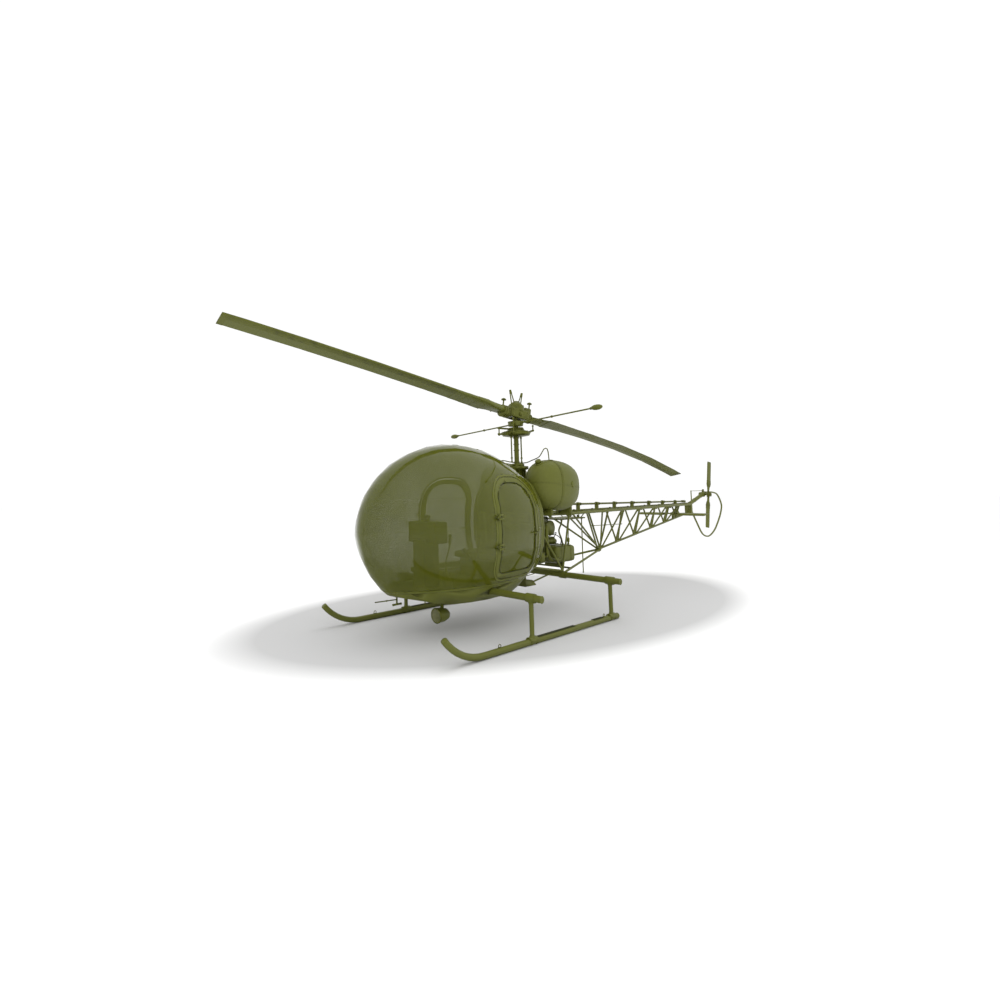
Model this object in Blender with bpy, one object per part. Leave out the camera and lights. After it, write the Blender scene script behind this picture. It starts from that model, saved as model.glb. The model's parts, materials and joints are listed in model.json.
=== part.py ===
# Light two-blade helicopter on tube skids: clear bubble cabin, open engine bay, saddle tanks and a
# triangular truss tail boom. Metres, +Z up, nose towards +X, left side towards +Y.
# Sizes are given from the mast axis at ground level; the root empty then puts the middle of the
# whole machine's footprint over the world origin.
import math

import bmesh
import bpy
from mathutils import Matrix, Vector

for stale in list(bpy.data.objects):
    bpy.data.objects.remove(stale)

# Driving dimensions

MAST_X = 1.5779         # mast axis, ahead of the middle of the footprint
MAST_Y = 0.0
GAP = 0.0003            # between neighbours that touch

SKID_Y = 1.150          # skid tube centre line
SKID_R = 0.038
SKID_Z = SKID_R * math.cos(math.pi / 12)  # the 12-sided tube rests on a flat side
SKID_REAR_X = -0.635
SKID_BEND_X = 2.115     # where the tube starts to turn up
SKID_BEND_R = 0.775
SKID_BEND_TURN = 49.0   # degrees
CROSS_Z = 0.534
CROSS_R = 0.042
CROSS_HALF = 1.306
CROSS_FRONT_X = 1.270
CROSS_REAR_X = -0.488
LEG_R = 0.028
SADDLE_R = 0.054

CABIN_X = 1.396         # middle of the bubble
CABIN_Z = 1.290
CABIN_A = 1.506         # half length
CABIN_B = 0.740         # half width
CABIN_C = 1.145         # half height
CABIN_REAR_X = 0.270
CABIN_REAR_PINCH = 0.28
CABIN_CHIN = 0.100      # how much the front's underside is lifted
CABIN_CHIN_NARROW = 0.30  # how much it narrows
BUBBLE_WALL = 0.007
FLOOR_Z = 0.600
BELLY_Z = 0.420
BULKHEAD_BACK_X = 0.225
CHIN_X = 1.850          # where the belly starts to rise to the front
CHIN_TIP_X = 2.540
CHIN_TIP_Z = 0.574

DOOR_REAR_X = 0.400
DOOR_FRONT_X = 1.330
DOOR_LOW_Z = 0.680
DOOR_HIGH_Z = 1.980
DOOR_CORNER = 0.220
DOOR_GAP = 0.006
DOOR_WALL = 0.030
DOOR_FRAME = 0.070
HINGE_R = 0.012

DECK_Z = 2.150          # top of the gearbox casing, where the mast comes out
MAST_R = 0.036
HUB_Z = 2.935
ROTOR_R = 4.540
ROTOR_AZIMUTH = -4.69   # degrees, where the forward blade points
ROTOR_TILT = 9.3        # degrees, forward blade up
ROTOR_FEATHER = {"forward": 18.0, "aft": 9.0}  # degrees, left edges up
BAR_HALF = 1.450
BAR_Z = 2.800
BAR_TILT = 2.7

BOOM_Z = 1.415          # upper longerons
BOOM_FRONT_X = -0.960
BOOM_END_X = -5.800
BOOM_FRONT_HALF = 0.260
BOOM_END_HALF = 0.062
KEEL_X = -2.157         # first node of the lower longeron
KEEL_Z = 0.747
KEEL_RISE = 0.134       # per metre towards the tail
KEEL_END_X = -5.876
LONGERON_R = 0.023
BRACE_R = 0.015

TRAY_REAR_X = -1.480     # tray under the front of the boom
TRAY_HALF = 0.190
TRAY_Z = 1.325

SHAFT_FRONT_X = -0.900
SHAFT_FRONT_Z = 1.552
SHAFT_END_X = -5.560
SHAFT_END_Z = 1.484
SHAFT_R = 0.017

TAIL_X = -6.570
TAIL_Y = 0.126
TAIL_Z = 1.612
TAIL_R = 0.745
TAIL_LEAN = 11.0        # degrees, how the parked tail rotor leans aft

ELEVATOR_X = -5.060
ELEVATOR_Z = 1.242
ELEVATOR_HALF = 0.655
ELEVATOR_PITCH = -5.0    # degrees, nose down, as it stands

TANK_X = -0.250
TANK_Y = 0.440
TANK_Z = 1.860
TANK_HALF = (0.472, 0.290, 0.368)
TANK_LEAN = 6.0          # degrees, front end up
OIL_TANK_LOW_Z = 0.680
CRADLE_X = -0.800        # cross tube under the oil tank

FRAME_Y = 0.400
FRAME_X = BULKHEAD_BACK_X - LONGERON_R - GAP
FRAME_LOW_Z = 0.707
FRAME_LOW_REAR_Z = 0.590
FRAME_TOP_Z = 1.440
ENGINE_X = -0.060
PAN_Z = 0.420            # underside of the pan behind the cabin
PAN_REAR_X = -0.020
CYLINDER_Z = (0.820, 1.030, 1.240)


# Materials: name, colour, roughness, metallic

def finish(name, colour, roughness, metallic, alpha=1.0):
    material = bpy.data.materials.new(name)
    material.use_nodes = True
    shader = material.node_tree.nodes["Principled BSDF"]
    shader.inputs["Base Color"].default_value = (*colour, 1.0)
    shader.inputs["Roughness"].default_value = roughness
    shader.inputs["Metallic"].default_value = metallic
    shader.inputs["Alpha"].default_value = alpha
    material.diffuse_color = (*colour, alpha)
    return material


OLIVE = finish("olive_paint", (0.120, 0.131, 0.027), 0.45, 0.0)
OLIVE_DARK = finish("olive_dark", (0.085, 0.092, 0.020), 0.50, 0.0)
OLIVE_METAL = finish("olive_metal", (0.105, 0.112, 0.030), 0.40, 0.6)
CLEAR = finish("olive_acrylic", (0.20, 0.22, 0.06), 0.06, 0.0, 0.45)
CANVAS = finish("olive_canvas", (0.075, 0.080, 0.022), 0.85, 0.0)


# Making solids. Each helper returns a plain object whose mesh is in the machine's own frame.

def solid(bm):
    bmesh.ops.recalc_face_normals(bm, faces=bm.faces)
    mesh = bpy.data.meshes.new("solid")
    bm.to_mesh(mesh)
    bm.free()
    piece = bpy.data.objects.new("solid", mesh)
    bpy.context.scene.collection.objects.link(piece)
    return piece


def skin(rings, start_pole=None, end_pole=None):
    """A closed solid through rings of points, with flat ends or poles."""
    bm = bmesh.new()
    rows = [[bm.verts.new(point) for point in ring] for ring in rings]
    count = len(rows[0])
    for near, far in zip(rows, rows[1:]):
        for i in range(count):
            j = (i + 1) % count
            bm.faces.new((near[i], near[j], far[j], far[i]))
    for row, pole in ((rows[0], start_pole), (rows[-1], end_pole)):
        if pole is None:
            bm.faces.new(row)
        else:
            tip = bm.verts.new(pole)
            for i in range(count):
                bm.faces.new((row[i], row[(i + 1) % count], tip))
    return solid(bm)


def box(low, high, bevel=0.0):
    bm = bmesh.new()
    bmesh.ops.create_cube(bm, size=1.0)
    low = Vector(low)
    size = Vector(high) - low
    for vert in bm.verts:
        vert.co = low + Vector((0.5 + vert.co.x, 0.5 + vert.co.y, 0.5 + vert.co.z)) * size
    if bevel:
        bmesh.ops.bevel(bm, geom=bm.edges[:], offset=bevel, segments=2, affect="EDGES", profile=0.5)
    return solid(bm)


def frame_along(direction):
    direction = Vector(direction).normalized()
    helper = Vector((0, 0, 1)) if abs(direction.z) < 0.9 else Vector((1, 0, 0))
    side = direction.cross(helper).normalized()
    return direction, side, direction.cross(side)


def ring_at(centre, side, over, radius, sides):
    turns = [2 * math.pi * (i + 0.5) / sides for i in range(sides)]
    return [centre + (side * math.cos(t) + over * math.sin(t)) * radius for t in turns]


def turned(start, direction, profile, sides=12):
    """A solid of revolution: profile rows are (distance along, radius)."""
    start = Vector(start)
    direction, side, over = frame_along(direction)
    return skin([ring_at(start + direction * along, side, over, radius, sides) for along, radius in profile])


def rod(start, end, radius, sides=8, end_radius=None):
    start, end = Vector(start), Vector(end)
    last = radius if end_radius is None else end_radius
    return turned(start, end - start, [(0.0, radius), ((end - start).length, last)], sides)


def pipe(points, radius, sides=8):
    """A tube along a line of points, its rings kept from twisting."""
    points = [Vector(point) for point in points]
    rings = []
    side = None
    for i, point in enumerate(points):
        before = (point - points[i - 1]).normalized() if i else Vector((0, 0, 0))
        after = (points[i + 1] - point).normalized() if i + 1 < len(points) else Vector((0, 0, 0))
        along = (before + after).normalized()
        if side is None:
            side = frame_along(along)[1]
        side = (side - along * side.dot(along)).normalized()
        rings.append(ring_at(point, side, along.cross(side), radius, sides))
    return skin(rings)


def smooth_path(points, steps=4):
    """Points on a curve that passes through the given ones."""
    points = [Vector(point) for point in points]
    ends = [points[0] * 2 - points[1]] + points + [points[-1] * 2 - points[-2]]
    path = []
    for a, b, c, d in zip(ends, ends[1:], ends[2:], ends[3:]):
        for step in range(steps):
            t = step / steps
            path.append(0.5 * (2 * b + (c - a) * t + (2 * a - 5 * b + 4 * c - d) * t * t
                               + (3 * b - a - 3 * c + d) * t ** 3))
    return path + [points[-1]]


def rounded(value, power):
    return math.copysign(abs(value) ** power, value)


def full_ball(centre, half, power=1.0, rows=10, sides=20):
    """An ellipsoid, squarer than a true one for a power under 1."""
    centre = Vector(centre)
    rings = []
    for row in range(1, rows):
        lift = math.pi * (row / rows - 0.5)
        across = rounded(math.cos(lift), power)
        ring = []
        for i in range(sides):
            turn = 2 * math.pi * i / sides
            ring.append(centre + Vector((half[0] * across * rounded(math.cos(turn), power),
                                         half[1] * across * rounded(math.sin(turn), power),
                                         half[2] * rounded(math.sin(lift), power))))
        rings.append(ring)
    return skin(rings, centre - Vector((0, 0, half[2])), centre + Vector((0, 0, half[2])))


def prism_y(outline, low_y, high_y):
    """A side outline of (x, z) points, run across from low_y to high_y."""
    return skin([[Vector((x, y, z)) for x, z in outline] for y in (low_y, high_y)])


def round_rectangle(low_x, high_x, low_z, high_z, corners, steps=5):
    """Side outline with a radius for each corner: front low, front high, rear high, rear low."""
    spots = ((high_x, low_z, -90), (high_x, high_z, 0), (low_x, high_z, 90), (low_x, low_z, 180))
    outline = []
    for (x, z, first), radius in zip(spots, corners):
        centre_x = x - radius if x == high_x else x + radius
        centre_z = z - radius if z == high_z else z + radius
        for step in range(steps + 1):
            turn = math.radians(first + 90 * step / steps)
            outline.append((centre_x + radius * math.cos(turn), centre_z + radius * math.sin(turn)))
    return outline


def settle(piece):
    """Makes the piece's modifiers part of its mesh."""
    bpy.context.view_layer.update()
    graph = bpy.context.evaluated_depsgraph_get()
    mesh = bpy.data.meshes.new_from_object(piece.evaluated_get(graph))
    piece.modifiers.clear()
    piece.data = mesh
    return piece


def combine(piece, others, operation, solver="EXACT"):
    for other in others:
        step = piece.modifiers.new("step", "BOOLEAN")
        step.solver = solver
        step.operation = operation
        step.object = other
    settle(piece)
    for other in others:
        bpy.data.objects.remove(other)
    return piece


def fuse(pieces, solver="EXACT"):
    return combine(pieces[0], pieces[1:], "UNION", solver)


def cut(piece, others, solver="EXACT"):
    return combine(piece, others, "DIFFERENCE", solver)


def keep_inside(piece, others):
    return combine(piece, others, "INTERSECT")


def mirrored(piece):
    """The same solid on the other side of the machine."""
    bm = bmesh.new()
    bm.from_mesh(piece.data)
    for vert in bm.verts:
        vert.co.y = -vert.co.y
    bmesh.ops.reverse_faces(bm, faces=bm.faces)
    mesh = bpy.data.meshes.new("solid")
    bm.to_mesh(mesh)
    bm.free()
    twin = bpy.data.objects.new("solid", mesh)
    bpy.context.scene.collection.objects.link(twin)
    return twin


# Placing: empties stand at the joints, and each named piece has its origin at its own reference.

def empty(name, place, parent=None, turn=(0.0, 0.0, 0.0)):
    mark = bpy.data.objects.new(name, None)
    bpy.context.scene.collection.objects.link(mark)
    mark.parent = parent
    mark.location = place
    mark.rotation_euler = [math.radians(angle) for angle in turn]
    return mark


MACHINE = empty("helicopter", (MAST_X, MAST_Y, 0.0))


def name_piece(piece, name, material, origin=(0.0, 0.0, 0.0), parent=None, smooth=35.0):
    """Names a piece modelled in its parent's frame and moves its origin to the given point."""
    piece.name = name
    piece.data.name = name
    piece.data.materials.clear()
    piece.data.materials.append(material)
    for polygon in piece.data.polygons:
        polygon.material_index = 0
    piece.data.transform(Matrix.Translation(-Vector(origin)))
    piece.data.shade_smooth()
    piece.data.set_sharp_from_angle(angle=math.radians(smooth))
    piece.parent = parent or MACHINE
    piece.location = origin
    return piece


# Landing gear

def skid(side):
    points = [(SKID_REAR_X, side * SKID_Y, SKID_Z), (SKID_BEND_X, side * SKID_Y, SKID_Z)]
    steps = 8
    for step in range(1, steps + 1):
        turn = math.radians(SKID_BEND_TURN * step / steps)
        points.append((SKID_BEND_X + SKID_BEND_R * math.sin(turn), side * SKID_Y,
                       SKID_Z + SKID_BEND_R * (1 - math.cos(turn))))
    return pipe(points, SKID_R, 12)


def cross_tube(x):
    cap = CROSS_R * 0.5
    profile = [(0.0, CROSS_R * 0.5), (cap * 0.35, CROSS_R * 0.86), (cap, CROSS_R)]
    ends = [(2 * CROSS_HALF - along, radius) for along, radius in reversed(profile)]
    return turned((x, -CROSS_HALF, CROSS_Z), (0, 1, 0), profile + ends, 16)


def gear_leg(x, side):
    y = side * SKID_Y
    leg = fuse([
        rod((x, y, SKID_Z), (x, y, CROSS_Z), LEG_R, 12),
        rod((x, y - 0.06, CROSS_Z), (x, y + 0.06, CROSS_Z), SADDLE_R, 16),
        rod((x - 0.07, y, SKID_Z + 0.012), (x + 0.07, y, SKID_Z + 0.012), SKID_R + 0.006, 16),
    ])
    return cut(leg, [
        rod((x, y - 0.2, CROSS_Z), (x, y + 0.2, CROSS_Z), CROSS_R + GAP, 16),
        rod((x - 0.2, y, SKID_Z), (x + 0.2, y, SKID_Z), SKID_R + GAP, 12),
        box((x - 0.2, y - 0.2, -0.1), (x + 0.2, y + 0.2, SKID_Z)),
    ])


SIDES = (("left", 1), ("right", -1))
for side_name, side in SIDES:
    name_piece(skid(side), f"skid_{side_name}", OLIVE, (SKID_REAR_X, side * SKID_Y, SKID_Z))
for place, x in (("front", CROSS_FRONT_X), ("rear", CROSS_REAR_X)):
    name_piece(cross_tube(x), f"cross_tube_{place}", OLIVE, (x, 0, CROSS_Z))
    for side_name, side in SIDES:
        name_piece(gear_leg(x, side), f"gear_leg_{place}_{side_name}", OLIVE, (x, side * SKID_Y, CROSS_Z))


# Cabin

def cabin_form(inset=0.0, rear_x=CABIN_REAR_X, rows=12, sides=24):
    """The cabin's closed outer form, or the same form a wall's thickness further in."""
    length, width, height = CABIN_A - inset, CABIN_B - inset, CABIN_C - inset
    first = math.asin((rear_x - CABIN_X) / length)
    last = math.radians(83)
    rings = []
    for row in range(rows + 1):
        turn = first + (last - first) * row / rows
        along = math.sin(turn)
        tall = height * math.cos(turn)
        pinch = 1 - CABIN_REAR_PINCH * along * along
        wide = width * (math.cos(turn) if along > 0 else pinch)
        power = 1.0 if along > 0 else 1.0 - 0.22 * along * along
        chin = 1.0 - CABIN_CHIN * max(along, 0.0)
        ring = []
        for i in range(sides):
            around = 2 * math.pi * i / sides
            lift = tall * rounded(math.sin(around), power)
            narrow = 1.0 - CABIN_CHIN_NARROW * max(along, 0.0) * max(-math.sin(around), 0.0)
            ring.append(Vector((CABIN_X + length * along, wide * narrow * rounded(math.cos(around), power),
                                CABIN_Z + (lift if lift > 0 else lift * chin))))
        rings.append(ring)
    return skin(rings, None, Vector((CABIN_X + length, 0, CABIN_Z)))


def cabin_shell(outer_inset, inner_inset):
    return cut(cabin_form(outer_inset), [cabin_form(inner_inset, CABIN_REAR_X - 0.05)])


def door_outline(inset):
    corners = [DOOR_CORNER * k - inset for k in (0.75, 1.5, 1.9, 0.75)]
    return round_rectangle(DOOR_REAR_X + inset, DOOR_FRONT_X - inset,
                           DOOR_LOW_Z + inset, DOOR_HIGH_Z - inset, corners)


HINGE_Y = CABIN_B + HINGE_R + 0.004
HINGE_HEIGHTS = (1.100, 1.470)
HINGE_SKIN_Y = 0.7195   # middle of the bubble's wall beside the hinges
HINGE_ARM_HALF = 0.012


def side_box(side, low_x, high_x, near_y, far_y, low_z, high_z):
    low_y, high_y = sorted((side * near_y, side * far_y))
    return box((low_x, low_y, low_z), (high_x, high_y, high_z))


def hinge_arms():
    """The fixed halves of the door hinges, each with its pin."""
    pieces = []
    for side in (1, -1):
        for z in HINGE_HEIGHTS:
            low, high = z - HINGE_ARM_HALF, z + HINGE_ARM_HALF
            pieces.append(side_box(side, DOOR_FRONT_X + 0.006, DOOR_FRONT_X + 0.045, HINGE_SKIN_Y, HINGE_Y, low, high))
            pieces.append(side_box(side, DOOR_FRONT_X - HINGE_R, DOOR_FRONT_X + 0.045, HINGE_Y - HINGE_R,
                                   HINGE_Y + HINGE_R, low, high))
            pieces.append(rod((DOOR_FRONT_X, side * HINGE_Y, z - 0.040), (DOOR_FRONT_X, side * HINGE_Y, z + 0.040),
                              0.005, 8))
    return pieces


def knuckles():
    """The door's halves, above and below each arm, for the left door."""
    pieces = []
    for z in HINGE_HEIGHTS:
        for low, high in ((z - 0.036, z - 0.0135), (z + 0.0135, z + 0.036)):
            pieces.append(side_box(1, DOOR_FRONT_X - 0.068, DOOR_FRONT_X - 0.035, HINGE_SKIN_Y - 0.015, HINGE_Y,
                                   low, high))
            pieces.append(side_box(1, DOOR_FRONT_X - 0.068, DOOR_FRONT_X + HINGE_R, HINGE_Y - HINGE_R,
                                   HINGE_Y + HINGE_R, low, high))
    return pieces


def bubble():
    shell = cabin_shell(0.0, BUBBLE_WALL)
    open_shell = cut(shell, [
        box((-1, -2, -1), (4, 2, FLOOR_Z + GAP)),
        prism_y(door_outline(0.0), 0.2, 1.2),
        prism_y(door_outline(0.0), -1.2, -0.2),
    ])
    return fuse([open_shell] + hinge_arms())


def chin_line(drop):
    """The belly's slope under the chin, from its front end back, lowered by drop."""
    return [(CHIN_TIP_X, CHIN_TIP_Z - drop), (CHIN_X, BELLY_Z - 0.0005 - drop)]


def belly():
    body = keep_inside(cabin_form(), [box((-1, -2, BELLY_Z), (4, 2, FLOOR_Z))])
    tunnel = rod((CROSS_FRONT_X, -2, CROSS_Z), (CROSS_FRONT_X, 2, CROSS_Z), CROSS_R + GAP, 16)
    below = [(CHIN_X, BELLY_Z - 0.1), (3.0, BELLY_Z - 0.1), (3.0, CHIN_TIP_Z)]
    return cut(body, [tunnel, prism_y(below + chin_line(0), -2, 2)])


def bulkhead():
    form = cabin_form()
    rear = [vert.co.copy() for vert in form.data.vertices if vert.co.x < CABIN_REAR_X + 0.0001]
    bpy.data.objects.remove(form)
    rings = [[Vector((x, point.y, point.z)) for point in rear]
             for x in (BULKHEAD_BACK_X, CABIN_REAR_X - GAP)]
    return cut(skin(rings), [box((-1, -2, -1), (4, 2, BELLY_Z))])


name_piece(bubble(), "bubble", CLEAR)
name_piece(belly(), "cabin_floor", OLIVE)
name_piece(bulkhead(), "cabin_bulkhead", OLIVE)


def door_frame():
    frame = keep_inside(cabin_shell(0.0, DOOR_WALL), [prism_y(door_outline(DOOR_GAP), 0.2, 1.2)])
    frame = cut(frame, [prism_y(door_outline(DOOR_GAP + DOOR_FRAME), 0.2, 1.2)])
    bore = rod((DOOR_FRONT_X, HINGE_Y, HINGE_HEIGHTS[0] - 0.1), (DOOR_FRONT_X, HINGE_Y, HINGE_HEIGHTS[1] + 0.1), 0.0056, 8)
    return cut(fuse([frame] + knuckles()), [bore])


def door_window():
    pane = prism_y(door_outline(DOOR_GAP + DOOR_FRAME + GAP), 0.2, 1.2)
    return keep_inside(cabin_shell(0.010, 0.010 + BUBBLE_WALL), [pane])


DOOR_PIECES = [("frame", door_frame(), OLIVE), ("window", door_window(), CLEAR)]
for side_name, side in SIDES:
    hinge = (DOOR_FRONT_X, side * HINGE_Y, CABIN_Z)
    swing = empty(f"door_{side_name}_hinge", hinge, MACHINE)
    for piece_name, piece, material in DOOR_PIECES:
        own = mirrored(piece) if side < 0 else piece.copy()
        if side > 0:
            own.data = piece.data.copy()
            bpy.context.scene.collection.objects.link(own)
        own.data.transform(Matrix.Translation(-Vector(hinge)))
        name_piece(own, f"door_{side_name}_{piece_name}", material, parent=swing)
for _, piece, _ in DOOR_PIECES:
    bpy.data.objects.remove(piece)


# Cabin fittings

SEAT_HALF = 0.480
SEAT_FOOT_HALF = 0.370
name_piece(box((0.400, -SEAT_FOOT_HALF, FLOOR_Z + GAP), (0.900, SEAT_FOOT_HALF, 0.840), 0.01), "seat_base", OLIVE_DARK)
name_piece(box((0.410, -SEAT_HALF, 0.840 + GAP), (0.930, SEAT_HALF, 0.940), 0.03), "seat_cushion", CANVAS)
name_piece(box((CABIN_REAR_X, -SEAT_HALF, 0.950), (0.395, SEAT_HALF, 1.480), 0.03), "seat_back", CANVAS)


def console():
    return fuse([
        box((1.760, -0.110, FLOOR_Z + GAP), (2.010, 0.110, 1.200), 0.01),
        box((1.740, -0.260, 1.150), (1.960, 0.260, 1.420), 0.02),
    ])


name_piece(console(), "instrument_console", OLIVE_DARK)


def control_stick(side):
    y = side * 0.27
    return fuse([
        rod((1.280, y, FLOOR_Z + GAP), (1.280, y, FLOOR_Z + 0.030), 0.045, 12),
        pipe([(1.280, y, FLOOR_Z + 0.010), (1.270, y, 0.85), (1.200, y, 1.020), (1.190, y, 1.080)], 0.012, 8),
        rod((1.190, y, 1.070), (1.180, y, 1.190), 0.019, 8),
    ])


def collective_lever():
    return fuse([
        rod((0.960, 0.060, FLOOR_Z + GAP), (0.960, 0.060, FLOOR_Z + 0.040), 0.030, 12),
        pipe([(0.960, 0.060, FLOOR_Z + 0.010), (0.985, 0.060, 0.700), (1.150, 0.060, 0.900)], 0.012, 8),
        rod((1.120, 0.060, 0.864), (1.250, 0.060, 1.020), 0.020, 8),
    ])


def pedal(y):
    return fuse([
        box((1.720, y - 0.020, FLOOR_Z + GAP), (1.780, y + 0.020, FLOOR_Z + 0.020)),
        rod((1.750, y, FLOOR_Z + 0.005), (1.790, y, 0.760), 0.009, 8),
        box((1.770, y - 0.050, 0.735), (1.795, y + 0.050, 0.800), 0.004),
    ])


for side_name, side in SIDES:
    name_piece(control_stick(side), f"cyclic_stick_{side_name}", OLIVE_METAL)
name_piece(collective_lever(), "collective_lever", OLIVE_METAL)
for name, y in (("left_outer", 0.36), ("left_inner", 0.18), ("right_inner", -0.18), ("right_outer", -0.36)):
    name_piece(pedal(y), f"pedal_{name}", OLIVE_METAL)


# Tube truss behind the cabin, and the engine it carries

def frame_nodes(side):
    return {
        "low_front": Vector((FRAME_X, side * FRAME_Y, FRAME_LOW_Z)),
        "top_front": Vector((FRAME_X, side * FRAME_Y, FRAME_TOP_Z)),
        "low_rear": Vector((CROSS_REAR_X, side * FRAME_Y, FRAME_LOW_REAR_Z)),
        "top_rear": Vector((BOOM_FRONT_X + 0.040, side * BOOM_FRONT_HALF, BOOM_Z)),
    }


def tank_form(side, grow=0.0):
    tank = full_ball((0, 0, 0), [half + grow for half in TANK_HALF], 0.80, 10, 20)
    place = Matrix.Translation((TANK_X, side * TANK_Y, TANK_Z))
    tank.data.transform(place @ Matrix.Rotation(math.radians(-TANK_LEAN), 4, "Y"))
    return tank


def centre_frame():
    left, right = frame_nodes(1), frame_nodes(-1)
    tubes = []
    for near in (left, right):
        side = 1 if near is left else -1
        links = (("low_front", "top_front", LONGERON_R), ("top_front", "top_rear", LONGERON_R),
                 ("low_front", "low_rear", BRACE_R), ("low_rear", "top_rear", BRACE_R),
                 ("low_rear", "top_front", BRACE_R))
        tubes += [rod(near[a], near[b], radius, 8) for a, b, radius in links]
        tubes.append(rod((CROSS_REAR_X, side * (FRAME_Y - 0.05), CROSS_Z),
                         (CROSS_REAR_X, side * (FRAME_Y + 0.05), CROSS_Z), SADDLE_R, 16))
        tubes.append(rod((BOOM_FRONT_X + GAP, side * BOOM_FRONT_HALF, BOOM_Z),
                         (BOOM_FRONT_X + 0.030, side * BOOM_FRONT_HALF, BOOM_Z), 0.034, 12))
        # tank saddles
        for share, top in ((0.28, 1.530), (0.70, 1.600)):
            start = near["top_front"].lerp(near["top_rear"], share)
            low, high = sorted((start.y - side * 0.010, side * 0.520))
            tubes.append(box((start.x - 0.025, low, start.z - 0.012), (start.x + 0.025, high, top)))
    for corner in ("low_front", "top_front", "top_rear"):
        tubes.append(rod(left[corner], right[corner], BRACE_R, 8))
    tubes.append(rod(left["low_front"], right["top_front"], BRACE_R, 8))
    for x in (ENGINE_X - 0.075, ENGINE_X + 0.075):
        share = (FRAME_X - x) / (FRAME_X - CROSS_REAR_X)
        height = FRAME_LOW_Z + (FRAME_LOW_REAR_Z - FRAME_LOW_Z) * share
        tubes.append(rod((x, -FRAME_Y, height), (x, 0, 0.610), BRACE_R, 8))
        tubes.append(rod((x, FRAME_Y, height), (x, 0, 0.610), BRACE_R, 8))
    tubes.append(box((ENGINE_X - 0.095, -0.110, 0.590), (ENGINE_X + 0.095, 0.110, 0.640 - GAP)))
    frame = fuse(tubes)
    bore = rod((CROSS_REAR_X, -2, CROSS_Z), (CROSS_REAR_X, 2, CROSS_Z), CROSS_R + GAP, 16)
    return cut(frame, [bore, tank_form(1, GAP), tank_form(-1, GAP)])


name_piece(centre_frame(), "centre_frame", OLIVE)


def finned_cylinder(z, side):
    base, head, fins = 0.160, 0.330, 5
    profile = [(0.0, 0.070)]
    for fin in range(fins):
        along = 0.030 + (head - base - 0.050) * fin / (fins - 1)
        profile += [(along - 0.010, 0.062), (along, 0.088)]
    profile += [(head - base, 0.062)]
    barrel = turned((ENGINE_X, side * base, z), (0, side, 0), profile, 8)
    low, high = sorted((side * (head - 0.03), side * (head + 0.035)))
    cover = box((ENGINE_X - 0.060, low, z - 0.070), (ENGINE_X + 0.060, high, z + 0.070), 0.015)
    return [barrel, cover]


def cylinder_bank(side):
    low, high = sorted((side * (0.130 + GAP), side * 0.175))
    pieces = [box((ENGINE_X - 0.075, low, 0.730), (ENGINE_X + 0.075, high, 1.330))]
    for z in CYLINDER_Z:
        pieces += finned_cylinder(z, side)
    return fuse(pieces)


def crankcase():
    return fuse([
        box((ENGINE_X - 0.130, -0.130, 0.700), (ENGINE_X + 0.130, 0.130, 1.370), 0.02),
        rod((ENGINE_X, 0, 0.640), (ENGINE_X, 0, 0.705), 0.100, 12),
        rod((ENGINE_X, 0, 1.360), (ENGINE_X, 0, 1.400 - GAP), 0.110, 12),
    ])


name_piece(crankcase(), "engine_crankcase", OLIVE_METAL)
for side_name, side in SIDES:
    name_piece(cylinder_bank(side), f"cylinder_bank_{side_name}", OLIVE_METAL)


def fan_housing():
    return turned((ENGINE_X, 0, 1.400), (0, 0, 1), [(0.0, 0.150), (0.030, 0.225), (0.150, 0.225),
                                                   (0.190, 0.170)], 20)


def gearbox():
    top = turned((0, 0, 1.590 + GAP), (0, 0, 1), [
        (0.0, 0.120), (0.040, 0.138), (0.180, 0.138), (0.260, 0.118), (0.420, 0.105),
        (0.500, 0.105), (0.520, 0.170), (DECK_Z - 1.590 - GAP, 0.170)], 20)
    return top


def under_pan():
    front = BULKHEAD_BACK_X - GAP
    outline = [(front, PAN_Z), (front, 0.620), (front - 0.012, 0.620), (front - 0.020, 0.520), (0.060, 0.500),
               (PAN_REAR_X, PAN_Z + 0.012), (PAN_REAR_X, PAN_Z)]
    pieces = [prism_y(outline, -0.260, 0.260)]
    for side in (1, -1):
        y = side * 0.200
        pieces.append(rod((0.080, y, PAN_Z + 0.020), (CROSS_REAR_X, y, CROSS_Z), BRACE_R * 0.8, 8))
    return cut(fuse(pieces), [rod((CROSS_REAR_X, -1, CROSS_Z), (CROSS_REAR_X, 1, CROSS_Z), CROSS_R + GAP, 16),
                              box((CROSS_REAR_X - 0.1, -1, CROSS_Z - 0.1), (CROSS_REAR_X, 1, CROSS_Z + 0.1))])


name_piece(under_pan(), "under_pan", OLIVE)
name_piece(fan_housing(), "fan_housing", OLIVE_METAL)
name_piece(gearbox(), "rotor_gearbox", OLIVE_METAL)


def exhaust(side):
    """A collector behind one bank, with a stub from each cylinder's head."""
    y = side * 0.345
    path = smooth_path([(-0.190, y, 1.280), (-0.190, y, 1.000), (-0.200, y, 0.860),
                        (-0.290, y, 0.762), (-0.500, y, 0.745)], 3)
    stubs = [rod((ENGINE_X - 0.060 - GAP, y, z), (-0.190, y, z), 0.018, 8) for z in CYLINDER_Z]
    return fuse([pipe(path, 0.032, 8)] + stubs)


name_piece(exhaust(1), "exhaust_left", OLIVE_METAL)
name_piece(exhaust(-1), "exhaust_right", OLIVE_METAL)
name_piece(box((-1.000, -0.240, OIL_TANK_LOW_Z), (-0.500, 0.300, 0.930), 0.05), "oil_tank", OLIVE)


# Fuel tanks


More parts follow.
